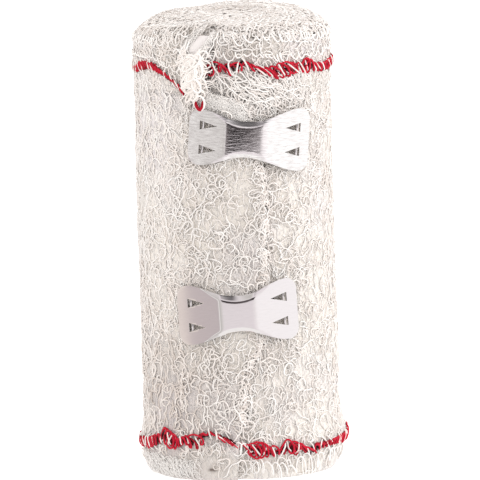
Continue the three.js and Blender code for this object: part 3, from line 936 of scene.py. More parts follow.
# Single loops at the foot of the bundle: middle, half width, half height, lean and height over the cloth
HANGING_LOOPS = rows(
    "wind level wide tall lean lift",
    (611.0, 62.7, 0.82, 1.2, 0.0, 0.8),
    (605.3, 63.6, 0.42, 0.8, 0.6, 0.5),
    (606.6, 65.3, 0.8, 0.95, 0.5, 0.7),
    (610.2, 65.6, 0.6, 1.1, -0.2, 0.85),
    (607.8, 67.3, 0.7, 1.0, 0.5, 0.7),
    (604.0, 66.6, 0.6, 1.0, 0.7, 0.55),
    (611.4, 68.0, 0.55, 1.2, 0.0, 0.75),
    (608.4, 63.9, 0.5, 0.8, 0.3, 0.65),
    (606.0, 69.0, 0.8, 1.1, 0.6, 0.6),
    (609.6, 69.8, 0.7, 1.1, 0.3, 0.65),
)


def put_bundle(material):
    """Looped yarn that hangs down the fold at the top corner of the loose end, narrower towards its foot."""
    random = np.random.default_rng(41)
    steps, one_each = 15, (BUNDLE["count"], 1)
    level = random.uniform(BUNDLE["low"], BUNDLE["high"], one_each)
    left = BUNDLE["left"] + BUNDLE["narrow"] * (BUNDLE["high"] - level) / (BUNDLE["high"] - BUNDLE["low"])
    wind = left + (BUNDLE["right"] - left) * random.random(one_each)
    slant = random.normal(BUNDLE["slant"], BUNDLE["spread"], one_each)
    x, y, share = squiggle(random, slant, steps, BUNDLE)
    lift = tilted(random, share, random.uniform(*BUNDLE["crown"], one_each))
    winds, levels = wind + wind_of(x, wind), level + y
    beyond = past_edge(winds, levels)
    paths = on_wall(winds, levels, lift - 0.8 * smoothstep(beyond, 0.2, 1.0))
    keep = (beyond < 0.5).all(axis=1) & ~bare(winds, levels).any(axis=1)
    keep &= clear_of_clips(paths, 0.05) & (levels > BUNDLE["lowest"]).all(axis=1)
    thick = BUNDLE["thick"] * WHITE_RADIUS * random.uniform(0.9, 1.1, (keep.sum(), 1))
    radius = thick * taper(steps, 0.5)
    piece = put_yarns("hanging_loops", paths[keep], outwards(winds)[keep], radius, 4, random, material)


def put_hanging_loops(material):
    """Single loops: each runs a little more than once round an ellipse, and its ends cross at the top."""
    turning = np.linspace(-1.12, 1.12, 27) * np.pi
    wind, level, wide, tall, lean, lift = (
        column(HANGING_LOOPS, name)[:, None] for name in ("wind", "level", "wide", "tall", "lean", "lift")
    )
    up = -tall * np.cos(turning)
    winds = wind + wind_of(wide * np.sin(turning) + lean * up, wind)
    paths = on_wall(winds, level + up, lift + 0.07 * turning - 0.03 * turning**2)
    radius = 1.5 * WHITE_RADIUS * np.ones_like(winds) * taper(len(turning), 0.7)
    random = np.random.default_rng(43)
    piece = put_yarns("hanging_ends", paths, outwards(winds), radius, 5, random, material)


def on_end(out, winds, top, lift):
    """Points over an end of the roll at a distance from its axis: on the shoulder's curve, which falls to
    the lap beneath past the free edge, and over a shallow dome inside it. Also gives the rim's radius."""
    shoulder, edge = (TOP_SHOULDER, END_EDGE[-1]) if top else (BOTTOM_SHOULDER, END_EDGE[0])
    under = 0.2
    centre = shoulder_centre(winds, shoulder)
    beyond = (winds - edge["wind"]) * winding_radius(winds) * DEG
    reach = winding_radius(winds) - centre - under - fall_to_lap(beyond, -0.4, 1.8)
    over = np.clip((out - centre) / reach, 0, 0.98)
    if top:
        reach = reach + relief(winds, WIDTH - shoulder + shoulder * np.arccos(over))
    inside = shoulder - under
    rise = (inside + (reach - inside) * smoothstep(over, 0.1, 0.7)) * np.sqrt(1 - over**2)
    dome = DOME * (1 - np.minimum(out / centre, 1) ** 2)
    z = WIDTH - shoulder + rise + dome + lift if top else shoulder - rise - lift + 0.15
    return settled(out, winds, z), centre + reach


# The pile of the two ends, which keeps inside a share of the rim's radius. Its shades are darker than
# those of the wall's pile: painted shade on the top end, which faces up to the light
END_PILE = dict(
    length=(2.5, 5.5), curls=0.6, turning=(3, 7), kink=0.9, spread=0.5, crown=(0.05, 0.35),
    shade=(0.35, 0.7),
)
TOP_LIMIT = 0.985
BOTTOM_LIMIT = 0.93
END_LAP = ROOT + 68  # the lap that shows on the ends starts here
# The selvage's loops on the top end: the spiral's first and last radius, its step, and the loops' half
# height and distance
LAP_EDGES = dict(first=5.5, last=14.6, apart=1.25, half=0.42, pitch=1.25)


def put_end_pile(name, top, count, seed, material):
    """Curled yarn on an end of the roll, mostly laid round the winding, over its laps."""
    random = np.random.default_rng(seed)
    steps, one_each = 10, (count, 1)
    x, y, share = squiggle(random, random.normal(0, END_PILE["spread"], one_each), steps, END_PILE)
    radius = np.sqrt(random.uniform(0.5, (FIRST_RADIUS + 0.9) ** 2, one_each))
    wind = random.uniform(END_LAP, END_LAP + 360, one_each)
    out = np.abs(radius + x)
    winds = wind + y / np.maximum(radius, 2) / DEG
    paths, rim = on_end(out, winds, top, arched(share, random.uniform(*END_PILE["crown"], one_each), 0.1))
    limit = rim * (TOP_LIMIT if top else BOTTOM_LIMIT)
    keep = (out < limit).all(axis=1) & (paths[..., 2] > 0.14).all(axis=1)
    outward = np.broadcast_to([0.0, 0.0, 1.0 if top else -1.0], paths.shape)
    thick = WHITE_RADIUS * random.uniform(*THICKNESS_SPREAD, one_each) * taper(steps, THIN_END)
    # Darker shades than the wall's pile: painted shade on the ends
    shade = random.uniform(*END_PILE["shade"], keep.sum())
    piece = put_yarns(name, paths[keep], outward[keep], thick[keep], 3, random, material, shade)


def put_lap_edges(material):
    """The looped selvage of each lap, seen on the top end: one yarn that loops along a spiral, as a point of
    a rolling wheel does."""
    random = np.random.default_rng(35)
    apart, outermost, end = LAP_EDGES["apart"], LAP_EDGES["last"], ROOT + 420
    wind = end - np.linspace(360 * (outermost - LAP_EDGES["first"]) / apart, 0, 3200)
    spiral = outermost - (end - wind) / 360 * apart
    arc = np.cumsum(spiral * np.gradient(wind) * DEG)
    pitch = LAP_EDGES["pitch"] * uneven(random, arc, 1.5, 0.6, 1.5)
    turning = 2 * np.pi * np.cumsum(np.gradient(arc) / pitch)
    half = LAP_EDGES["half"] * uneven(random, arc, 1.9, 0.4, 1.5)
    out = spiral + half * np.cos(turning) + uneven(random, arc, 4.0, -0.25, 0.25)
    winds = wind + 0.6 * half * np.sin(turning) / spiral / DEG
    turned = (winds - END_LAP) % 360 + END_LAP
    lift = 0.2 + 0.12 * np.sin(turning) + uneven(random, arc, 2.7, -0.15, 0.2)
    paths = on_end(out, turned, True, lift)[0][None]
    outward = np.broadcast_to([0.0, 0.0, 1.0], paths.shape)
    radius = 1.1 * WHITE_RADIUS * np.ones((1, len(wind)))
    piece = put_yarns("lap_edges", paths, outward, radius, 4, random, material)


# The fuzz's shades are kept light: painted light on the smooth strips, most on the puffed edge in the shade
FUZZ = dict(
    length=(1.2, 3.0), curls=0.6, turning=(2, 5), kink=0.5, slant=-1.0, spread=0.6, crown=(0.0, 0.35),
    shade=(0.8, 1.0), wide=3.0, tall=0.8,
)


def put_fuzz(name, strip, count, across, seed, material):
    """Fine loose fibres over a smooth strip of cloth: short curls, thinner than the yarn, that stand a
    little off it. They lie near the strip's line, at a distance between two shares of its half width."""
    random = np.random.default_rng(seed)
    steps, one_each = 9, (count, 1)
    line = smooth_table(strip["line"], 50)
    at = random.uniform(0, 49, one_each)
    wind, level = (np.interp(at, np.arange(50), line[part]) for part in ("wind", "level"))
    wind = wind + random.normal(0, FUZZ["wide"], one_each)
    level = level + random.normal(0, FUZZ["tall"], one_each)
    x, y, share = squiggle(random, random.normal(FUZZ["slant"], FUZZ["spread"], one_each), steps, FUZZ)
    winds, levels = wind + wind_of(x, wind), level + y
    beyond = past_edge(winds, levels)
    lift = arched(share, random.uniform(*FUZZ["crown"], one_each), 0.1)
    paths = on_wall(winds, levels, lift - BASE_UNDER + 0.08 - fall_to_lap(beyond, 0, 1.2))
    off = off_strip(strip, winds, levels)
    keep = ((beyond < 1.2) & (paths[..., 2] > 0.1)).all(axis=1) & clear_of_clips(paths, 0.05)
    keep &= ((off < across[1]) & (off > across[0])).all(axis=1)
    radius = FUZZ_RADIUS * np.ones((keep.sum(), 1)) * taper(steps, 0.3)
    # Light shades: painted light over the smooth strips
    shade = random.uniform(*FUZZ["shade"], keep.sum())
    piece = put_yarns(name, paths[keep], outwards(winds)[keep], radius, 3, random, material, shade)


# Looped yarns along the selvages: half the height of the loops, the distance from one to the next, how far
# they lean to the left as they rise, and how round they are, from 0 for a plain wave to 1 for rings
RED_TOP = rows(
    "wind level half pitch lean round",
    (250.5, 68.3, 0.8, 0.9, 0.2, 0.6),
    (254.0, 67.8, 1.0, 0.8, 0.1, 0.8),
    (259.5, 68.6, 0.8, 2.0, 0.0, 1.0),
    (264.5, 68.1, 0.9, 1.7, 0.6, 0.3),
    (270.2, 68.1, 1.0, 2.2, 0.0, 0.6),
    (277.3, 68.7, 0.35, 1.4, 0.0, 0.3),
    (283.2, 67.7, 0.8, 1.0, 0.9, 0.2),
    (292.5, 67.2, 0.95, 1.1, 0.9, 0.4),
    (300.0, 67.3, 0.8, 0.8, 0.5, 0.6),
    (306.0, 67.4, 1.0, 1.0, 0.5, 0.8),
    (313.0, 67.2, 0.8, 1.5, 0.2, 0.3),
    (319.5, 67.4, 0.9, 0.9, -0.2, 0.6),
    (328.0, 67.1, 0.6, 1.4, 0.3, 0.3),
    (338.9, 66.7, 0.75, 0.9, -0.2, 0.7),
    (357.0, 66.9, 0.7, 1.1, 0.3, 0.4),
    (420.0, 67.8, 0.8, 1.2, 0.3, 0.5),
    (485.0, 67.2, 0.8, 1.1, 0.5, 0.4),
    (550.0, 67.0, 0.42, 0.7, 0.6, 0.2),
    (565.8, 67.7, 0.42, 0.55, 0.7, 0.2),
    (576.9, 68.1, 0.45, 0.6, 0.8, 0.2),
    (583.0, 67.5, 0.42, 0.6, 0.7, 0.2),
    (588.3, 66.7, 0.42, 0.6, 0.6, 0.2),
    (593.9, 65.9, 0.42, 0.65, 0.4, 0.2),
    (599.1, 64.9, 0.45, 0.7, 0.2, 0.2),
    (602.5, 64.2, 0.3, 0.8, 0.0, 0.2),
)
RED_BOTTOM = rows(
    "wind level half pitch lean round",
    (265.0, 6.3, 0.5, 1.0, 0.6, 0.2),
    (270.0, 5.9, 0.7, 0.9, 0.8, 0.2),
    (275.0, 5.2, 1.0, 0.5, 0.2, 0.7),
    (280.0, 5.0, 0.9, 0.6, 0.1, 0.6),
    (285.2, 4.7, 0.8, 1.0, 0.5, 0.3),
    (291.4, 4.7, 0.8, 1.1, -0.3, 0.3),
    (295.8, 5.3, 0.95, 1.7, 0.0, 0.4),
    (300.0, 4.9, 0.9, 0.5, 0.0, 0.7),
    (305.0, 5.0, 0.6, 1.1, 0.5, 0.2),
    (310.7, 4.3, 0.9, 1.5, 1.5, 0.1),
    (320.0, 4.8, 0.45, 0.9, -0.4, 0.3),
    (331.5, 4.9, 0.55, 0.8, -0.7, 0.1),
    (343.9, 4.9, 0.55, 0.8, -0.7, 0.1),
    (356.0, 5.0, 0.8, 0.8, -0.5, 0.2),
    (372.0, 5.4, 0.8, 1.0, 0.0, 0.4),
    (420.0, 5.6, 0.8, 1.2, 0.3, 0.5),
    (485.0, 5.0, 0.8, 1.1, 0.2, 0.4),
    (540.0, 4.9, 0.7, 0.8, 0.0, 0.3),
    (553.9, 5.3, 0.8, 0.75, 0.0, 0.2),
    (568.0, 5.7, 0.95, 0.45, 0.1, 0.6),
    (574.5, 6.4, 0.8, 1.0, 0.0, 0.3),
    (579.5, 7.2, 1.15, 2.2, 0.0, 0.35),
    (585.0, 6.6, 1.0, 1.4, 0.0, 0.9),
    (590.5, 6.3, 0.7, 1.4, 0.0, 0.4),
    (595.0, 6.8, 0.6, 0.9, 0.5, 0.4),
    (599.0, 6.9, 0.7, 1.2, 0.3, 0.4),
    (602.8, 6.5, 1.2, 1.7, 0.0, 1.0),
    (606.7, 7.8, 0.3, 0.9, 0.5, 0.2),
    (613.8, 8.1, 0.25, 0.9, 0.5, 0.2),
    (618.0, 7.4, 0.35, 0.9, 0.9, 0.2),
    (622.0, 6.9, 0.6, 0.8, 1.0, 0.2),
    (625.0, 6.3, 0.6, 0.8, 1.0, 0.2),
)
ABOVE_RED = rows(
    "wind level half pitch lean round",
    (256, 70.3, 0.6, 1.3, 0.2, -0.5),
    (275, 70.2, 0.6, 1.2, -0.2, -0.5),
    (295, 69.7, 0.6, 1.4, 0.3, -0.4),
    (330, 69.5, 0.5, 1.3, 0.1, -0.5),
    (420, 69.6, 0.5, 1.6, 0.0, -0.5),
    (520, 69.0, 0.5, 1.6, 0.2, -0.4),
    (575, 69.6, 0.4, 1.2, 0.3, -0.4),
    (598, 67.4, 0.4, 1.2, 0.2, -0.4),
)
AT_SELVAGE = rows(
    "wind level half pitch lean round",
    (256, 73.0, 0.55, 1.4, 0.0, -0.4),
    (290, 72.8, 0.55, 1.5, 0.1, -0.4),
    (330, 72.4, 0.6, 1.4, 0.0, -0.5),
    (420, 72.8, 0.6, 1.6, 0.0, -0.5),
    (540, 72.8, 0.6, 1.4, 0.0, -0.5),
    (598, 73.0, 0.6, 1.3, 0.0, -0.5),
)
AT_FOOT = rows(
    "wind level half pitch lean round",
    (272, 2.9, 0.8, 1.6, 0.0, 0.6),
    (300, 2.6, 0.8, 1.5, 0.3, 0.5),
    (340, 3.0, 0.7, 1.3, 0.0, 0.5),
    (420, 2.8, 0.7, 1.6, 0.0, 0.5),
    (545, 2.8, 0.6, 1.6, 0.0, 0.5),
)
WHITE_LOOPS = [("loops_above_red", ABOVE_RED), ("loops_at_selvage", AT_SELVAGE), ("loops_at_foot", AT_FOOT)]
WHITE_STRAND = dict(
    shift=0.0, lift=0.25, half=1.0, pitch=1.0, radius=1.1 * WHITE_RADIUS, shade=0.9, wild=0.75
)
# The red yarn is of three strands: an upper one, a flatter one and a dark one beneath them. Their shades
# fall from the upper strand to the lowest: painted shade in the depth of the loops
RED_STRANDS = rows(
    "shift lift half pitch radius shade wild",
    (0.0, 0.42, 1.05, 1.0, 0.17, 0.75, 0.45),
    (0.5, 0.25, 0.8, 1.4, 0.15, 0.5, 0.45),
    (0.3, 0.0, 0.5, 0.6, 0.2, 0.0, 0.45),
)
RED_YARNS = [
    dict(end="top", table=RED_TOP, seed=51, step=1.7, lean=0.6),
    dict(end="bottom", table=RED_BOTTOM, seed=61, step=1.6, lean=0.2),
]
CROSSING = dict(below=1.2, above=1.3, thick=1.15)
# The loop of red yarn that hangs below the fold, with its height over the cloth
RED_END = rows(
    "wind level off", (608.9, 63.0, 0.45), (609.3, 62.2, 0.7), (610.9, 61.6, 0.8), (612.4, 62.1, 0.7),
    (612.7, 63.0, 0.45),
)
RED_END_RADIUS = 0.3


def uneven(random, along, step, low, high):
    """Random values at even steps along a run, with straight lines between them."""
    knots = np.arange(0, along[-1] + step, step)
    return np.interp(along, knots, random.uniform(low, high, len(knots)))


def run_along(table, steps):
    """A table's smooth curve, and the length along it."""
    run = smooth_table(table, steps)
    return run, np.cumsum(winding_radius(run["wind"]) * np.gradient(run["wind"]) * DEG)


def looped_yarn(table, strand, seed, steps):
    """Winding angle, level and height of a yarn that loops along a line, as a point of a rolling wheel does:
    the run plus a sine, and the level plus a cosine, of a turning that gains one turn each pitch."""
    random = np.random.default_rng(seed)
    run, arc = run_along(table, steps)
    wild = strand["wild"]
    pitch = run["pitch"] * strand["pitch"] * uneven(random, arc, 1.3, 1 - wild, 1 + 1.3 * wild)
    turning = 2 * np.pi * (np.cumsum(np.gradient(arc) / pitch) + strand["shift"])
    half = run["half"] * strand["half"] * uneven(random, arc, 1.7, 1 - wild, 1 + wild)
    level = run["level"] + half * np.cos(turning) + 0.6 * wild * uneven(random, arc, 2.3, -1, 1)
    side = run["round"] * half * np.sin(turning) - run["lean"] * half * np.cos(turning)
    wind = run["wind"] + wind_of(side, run["wind"])
    rolling = strand["lift"] + 0.16 * np.sin(turning)
    return wind, level, pile_height(wind) * rolling + uneven(random, arc, 1.9, -0.1, 0.1)


def put_on_wall(name, places, radius, sides, seed, material, clear=False, shade=None):
    """Yarns on the outermost cloth, at winding angles, levels and heights over it. Past the free edge they
    fall to the lap beneath. Those that would stand in a clip can be left out."""
    winds, levels, lifts = places
    lowest = 0.2
    paths = on_wall(winds, levels, lifts - fall_to_lap(past_edge(winds, levels), 0, 0.8, left=0.2))
    paths[..., 2] = np.maximum(paths[..., 2], lowest)
    keep = clear_of_clips(paths, 0.05) if clear else np.ones(len(paths), bool)
    random = np.random.default_rng(seed)
    thick = np.broadcast_to(radius, (len(paths), 1))[keep] * taper(paths.shape[1], 0.5)
    return put_yarns(name, paths[keep], outwards(winds)[keep], thick, sides, random, material, shade)


def put_selvage_yarn(name, table, strands, steps, sides, seed, material):
    """Strands of looped yarn along a selvage, each closed at its ends, with its own radius and shade."""
    runs = [looped_yarn(table, strand, seed + i, steps) for i, strand in enumerate(strands)]
    places = [np.stack(part) for part in zip(*runs)]
    radius, shade = column(strands, "radius")[:, None], column(strands, "shade")
    return put_on_wall(name, places, radius, sides, seed, material, shade=shade)


def put_crossing_yarns(name, yarn, seed, material):
    """Short white yarns that hold the red one down: each runs from below it to above it, over its loops,
    and hooks over at one end."""
    random = np.random.default_rng(seed)
    run, arc = run_along(yarn["table"], 600)
    at = np.arange(0.3, arc[-1], yarn["step"])[:, None]
    one_each = at.shape
    at = at + random.normal(0, 0.5, one_each)
    wind, line = np.interp(at, arc, run["wind"]), np.interp(at, arc, run["level"])
    share = np.linspace(-1, 1, 10)
    reach = random.uniform(0.6, 1.1, one_each)
    rise = np.where(share < 0, CROSSING["below"], CROSSING["above"]) * share * reach
    hook = random.choice([-1, 1], one_each) * random.uniform(0.1, 0.7, one_each) * np.abs(share) ** 5
    lean = random.normal(yarn["lean"], 0.45, one_each)
    winds = wind + wind_of(hook - lean * rise, wind)
    lifts = arched(share, pile_height(wind) * random.uniform(0.4, 0.75, one_each), 0.15)
    places = winds, line + rise, lifts
    return put_on_wall(name, places, CROSSING["thick"] * WHITE_RADIUS, 4, seed, material, clear=True)


def put_red_yarns(red, white):
    """The red yarn along each selvage, the white yarns that cross it, and the loop at the end of the top
    one."""
    for yarn in RED_YARNS:
        end, seed = yarn["end"], yarn["seed"]
        piece = put_selvage_yarn("red_selvage_" + end, yarn["table"], RED_STRANDS, 1800, 5, seed, red)
        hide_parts("red_yarn_%s_roll" % end, "red_yarn_%s_end" % end)
        piece = put_crossing_yarns("crossing_" + end, yarn, seed + 5, white)
    run = smooth_table(RED_END, 24)
    places = run["wind"][None], run["level"][None], run["off"][None]
    piece = put_on_wall("red_end_loop", places, RED_END_RADIUS, 8, 71, red, shade=np.array([0.5]))


def put_white_loops(white):
    """The looped white yarns above the red one, at the top selvage and at the foot."""
    for seed, (name, table) in enumerate(WHITE_LOOPS, 81):
        piece = put_selvage_yarn(name, table, [WHITE_STRAND], 1500, 4, seed, white)


def plate_faces(clip, columns, rows):
    """The two faces of a clip's plate in its seat's axes, each a grid of points. Across the plate the first
    two thirds of the rows are flat but for a slight barrel. The rest lie on the flange, which turns down
    softly: the share of the turn grows as a square and then evenly."""
    share = np.sin(np.linspace(-np.pi / 2, np.pi / 2, columns))
    s = share * clip_reach(clip, share)
    across = np.linspace(-1, 1, rows)[:, None]
    waist = np.maximum(1 - (s / FLANGE["reach"]) ** 2, 0)
    flange = FLANGE["width"] * np.maximum(waist, FLANGE["narrowest"])
    turn = FLANGE["turn"] * np.sqrt(waist) * DEG
    flat, soft = 2 / 3, FLANGE["soft"]
    flat_share = np.minimum(np.abs(across) / flat, 1)
    turn_share = np.maximum(np.abs(across) - flat, 0) / (1 - flat)
    bent_share = np.where(turn_share < soft, turn_share**2 / (2 * soft), turn_share - soft / 2)
    y = np.sign(across) * (flat_share * (half_height(clip, s) - flange) + turn_share * flange * np.cos(turn))
    x, out, slope = plate_at(clip, s)
    out = out - CLIP["barrel"] * DEG * CLIP["waist"] * (across**2) / 2
    faces = []
    for thick in (SHEET, 0):
        depth = thick - bent_share * flange * np.sin(turn)
        face = np.broadcast_arrays(x - depth * np.sin(slope), y, out + depth * np.cos(slope))
        faces.append(np.stack(face, -1))
    return faces


def hole_places(clip):
    """The four holes of a clip: the side, the axes of the plate there as rows, and the place."""
    for side in (-1, 1):
        for row in (-1, 1):
            x, out, slope = plate_at(clip, np.array(side * (clip_reach(clip, side) - HOLE["inset"])))
            along, outward = [np.cos(slope), 0, np.sin(slope)], [-np.sin(slope), 0, np.cos(slope)]
            yield side, np.array([along, [0, 1, 0], outward]), np.array([x, row * HOLE["apart"] / 2, out])


def stretch_clip(clip, material):
    """A stamped clip: a waisted plate with a facet, two bent wings, a flange along each long side, and four
    holes whose teeth are bent down into the cloth."""
    columns, across_rows = 97, 35
    points = np.concatenate([face.reshape(-1, 3) for face in plate_faces(clip, columns, across_rows)])
    name = "clip_" + clip["name"]
    plate = put_mesh(name + "_plate", points, slab_faces(across_rows, columns), body=None)
    cutters, teeth = [], []
    for side, axes, place in hole_places(clip):
        cutters.append(punch(side) @ axes + place)
        teeth.append(tooth(side) @ axes + (place - side * TOOTH["inset"] * axes[0]))
    cut_holes(plate, cutters)
    add_teeth(plate, teeth)
    round_edges(plate)
    local = mesh_points(plate) / MM
    corner = np.empty(len(plate.data.loops), np.int32)
    plate.data.loops.foreach_get("vertex_index", corner)
    put_uv(plate.data, local[corner, :2] + clip["level"])
    axes, origin = clip_frame(clip)
    plate.data.vertices.foreach_set("co", ((local @ axes + origin) * MM).astype(np.float32).ravel())
    plate.data.set_sharp_from_angle(angle=35 * DEG)
    plate.data.update()
    plate.data.materials.clear()
    plate.data.materials.append(material)
    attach(plate, "root")
    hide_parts(name)
    return plate


def round_edges(plate):
    """Rounds the plate's stamped edges by a small bevel, which is applied."""
    bevel = plate.modifiers.new("rim", "BEVEL")
    bevel.width = CLIP["rim"] * MM
    bevel.segments = 2
    bevel.limit_method = "ANGLE"
    bevel.angle_limit = 50 * DEG
    settle_modifiers(plate)


def settle_modifiers(piece):
    """Puts the mesh that the modifiers make in place of the piece's own."""
    made = bpy.data.meshes.new_from_object(piece.evaluated_get(bpy.context.evaluated_depsgraph_get()))
    piece.modifiers.clear()
    piece.data = made


def mesh_points(piece):
    """A piece's points, in metres."""
    found = np.empty(len(piece.data.vertices) * 3, np.float32)
    piece.data.vertices.foreach_get("co", found)
    return found.reshape(-1, 3).astype(float)


def punch(side):
    """Corners of the prism that cuts a hole: a triangle with its base at the tooth and its tip inwards."""
    tip = -side * HOLE["length"]
    flat = np.array([[0, -HOLE["base"] / 2], [tip, 0], [0, HOLE["base"] / 2]])
    flat = flat[::-1] if side > 0 else flat
    return np.array([[x, y, z] for z in (-3 * SHEET, 4 * SHEET) for x, y in flat])


def cut_holes(plate, cutters):
    """Takes the prisms out of the plate."""
    points = np.concatenate(cutters)
    base = np.arange(len(cutters))[:, None] * 6
    ends = np.concatenate([base + [2, 1, 0], base + [3, 4, 5]])
    sides = np.concatenate([base + [i, (i + 1) % 3, (i + 1) % 3 + 3, i + 3] for i in range(3)])
    cutter = put_mesh("cutter", points, [ends, sides], body=None)
    cut = plate.modifiers.new("holes", "BOOLEAN")
    cut.operation = "DIFFERENCE"
    cut.solver = "EXACT"
    cut.object = cutter
    settle_modifiers(plate)
    bpy.data.objects.remove(cutter)


def tooth(side):
    """A pointed tongue bent down a quarter turn from its hole's base: the run along it first follows an arc,
    then goes straight into the cloth, and its width falls evenly to its tip."""
    run = np.linspace(0, TOOTH["length"], 15)
    bend = TOOTH["bend"]
    turned = np.minimum(run / bend, np.pi / 2)
    beyond = np.maximum(run - bend * np.pi / 2, 0)
    blunt = 1.02
    width = TOOTH["base"] * (1 - run / (TOOTH["length"] * blunt)) / 2
    across = np.array([-1.0, 1.0])[:, None]
    faces = []
    for thick in (0, SHEET * 0.8):
        x = (bend - thick) * np.sin(turned)
        z = -bend + (bend - thick) * np.cos(turned) - beyond
        grid = np.broadcast_arrays(-side * x, across * width, z + SHEET * 0.9)
        faces.append(np.stack(grid, -1))
    return np.stack(faces)


def add_teeth(plate, teeth):
    """Joins the teeth to the plate's mesh. Those of the left side are mirrored, so their faces turn."""
    points = np.concatenate([t.reshape(-1, 3) for t in teeth])
    faces = []
    for i, t in enumerate(teeth):
        across_rows, columns = t.shape[1:3]
        quads = slab_faces(across_rows, columns)[0] + i * 2 * across_rows * columns
        faces.append(quads[:, ::-1] if i < 2 else quads)
    made = put_mesh("teeth", points, faces, body=None)
    with bpy.context.temp_override(active_object=plate, selected_editable_objects=[plate, made]):
        bpy.ops.object.join()


# What the metal mirrors: the walls' greys by azimuth from the camera's side, positive to the right, and the
# share of them that is left with the rise of the view in front of the roll
MIRRORED = rows(
    "azimuth grey",
    (-100, "#F2ECE8"), (-57.0, "#DACFCA"), (-55.0, "#BEB3B4"), (-47, "#B8AEB0"), (-41, "#E8E6E4"),
    (-38.0, "#D6D3D1"), (-37.4, "#B9B5B4"), (-30, "#C2BEBC"), (-12, "#DAD4D6"), (3, "#DCD4D8"),
    (23, "#E6E0E2"), (40, "#F0EBED"), (55, "#F3EFF1"), (69.5, "#F8F6F6"), (100, "#F0EEEC"),
)
OVERHEAD = rows("rise share", (-60, 1.0), (54, 1.0), (63, 0.25), (72, 0.08), (90, 0.25))
OVERHEAD_FROM = (-15, 5)
OVERHEAD_TO = (80, 95)
# Dark stands before the walls, one in front of the other: azimuths, rises, softness and grey
STANDS = [
    dict(left=-16.0, right=19.0, foot=6.5, head=42.0, soft=3.0, grey="#585152"),
    dict(left=-1.0, right=11.0, foot=7.0, head=42.0, soft=3.5, grey="#201C1D"),
]
ROOM = dict(radius=170.0, side=100, low=-60, high=90, lift=0.5)
MIRROR_GAIN = 1.3  # makes up for the light that the metal takes

# The stage and its light
FLOOR = dict(side=6000.0, colour="#F2F2F2", glow=0.7)
WORLD = dict(colour=(1.0, 0.975, 0.97, 1), strength=1.08)
LAMPS = [
    dict(name="key", place=(500, -60, 150), size=320, watts=1.15, colour="#FFFAF8"),
    dict(name="fill", place=(-500, -60, 140), size=320, watts=0.3, colour="#FFEBD6"),
    dict(name="front", place=(60, -600, 160), size=400, watts=0.3, colour="#FFF9F5"),
]


def pale_floor():
    """A wide pale floor that glows a little, so that it stays as bright as the room."""
    side = FLOOR["side"]
    corners = np.array([[-side, -side, 0], [side, -side, 0], [side, side, 0], [-side, side, 0]]) / 2
    floor = put_mesh("floor", corners, [np.arange(4)[None]], body=None)
    made, tree = new_material("pale_floor")
    finish = {
        "Base Color": rgb(FLOOR["colour"]),
        "Roughness": 1.0,
        "Specular IOR Level": 0.0,
        "Emission Color": (1, 1, 1, 1),
        "Emission Strength": FLOOR["glow"],
    }
    shader = add(tree, "ShaderNodeBsdfPrincipled", inputs=finish)
    add(tree, "ShaderNodeOutputMaterial", links={"Surface": shader.outputs[0]})
    floor.data.materials.append(made)
    floor.visible_diffuse = floor.visible_glossy = False


def soft_light():
    """A white room for a world, and three soft lights: a key from the right, a warm fill from the left and a
    weak one from the front."""
    world = bpy.data.worlds.new("white_room")
    bpy.context.scene.world = world
    world.use_nodes = True
    background = world.node_tree.nodes["Background"]
    background.inputs["Color"].default_value = WORLD["colour"]
    background.inputs["Strength"].default_value = WORLD["strength"]
    for lamp in LAMPS:
        put_lamp(lamp)
    bpy.context.scene.view_settings.view_transform = "Standard"


def put_lamp(lamp):
    """A square area light that looks at the roll's middle and that the metal doesn't mirror."""
    data = bpy.data.lights.new(lamp["name"], "AREA")
    data.size = lamp["size"] * MM
    data.energy = lamp["watts"]
    data.color = rgb(lamp["colour"])[:3]
    made = bpy.data.objects.new(lamp["name"], data)
    bpy.context.scene.collection.objects.link(made)
    made.matrix_world = look_at(np.array(lamp["place"], float), np.array([0, 0, WIDTH / 2]), 0)
    made.visible_glossy = False


def room_colour(azimuth, rise):
    """Colours of the mirrored room: the walls' grey by azimuth, dimmer overhead in front of the roll, with
    the stands before them, each the product of a smoothstep at its four sides."""
    greys = np.array([rgb(row["grey"])[:3] for row in MIRRORED]).T
    wall = np.stack([np.interp(azimuth, column(MIRRORED, "azimuth"), grey) for grey in greys], -1)
    overhead = np.interp(rise, column(OVERHEAD, "rise"), column(OVERHEAD, "share"))
    dimmed = smoothstep(azimuth, *OVERHEAD_FROM) * (1 - smoothstep(azimuth, *OVERHEAD_TO))
    colour = wall * (1 + (overhead - 1) * dimmed)[..., None]
    for stand in STANDS:
        soft = stand["soft"]
        share = smoothstep(azimuth, stand["left"] - soft, stand["left"] + soft)
        share = share * (1 - smoothstep(azimuth, stand["right"] - soft, stand["right"] + soft))
        share = share * smoothstep(rise, stand["foot"] - 1, stand["foot"] + 1)
        share = share * (1 - smoothstep(rise, stand["head"] - 1, stand["head"] + 1))
        colour = colour + share[..., None] * (np.array(rgb(stand["grey"])[:3]) - colour)
    return colour


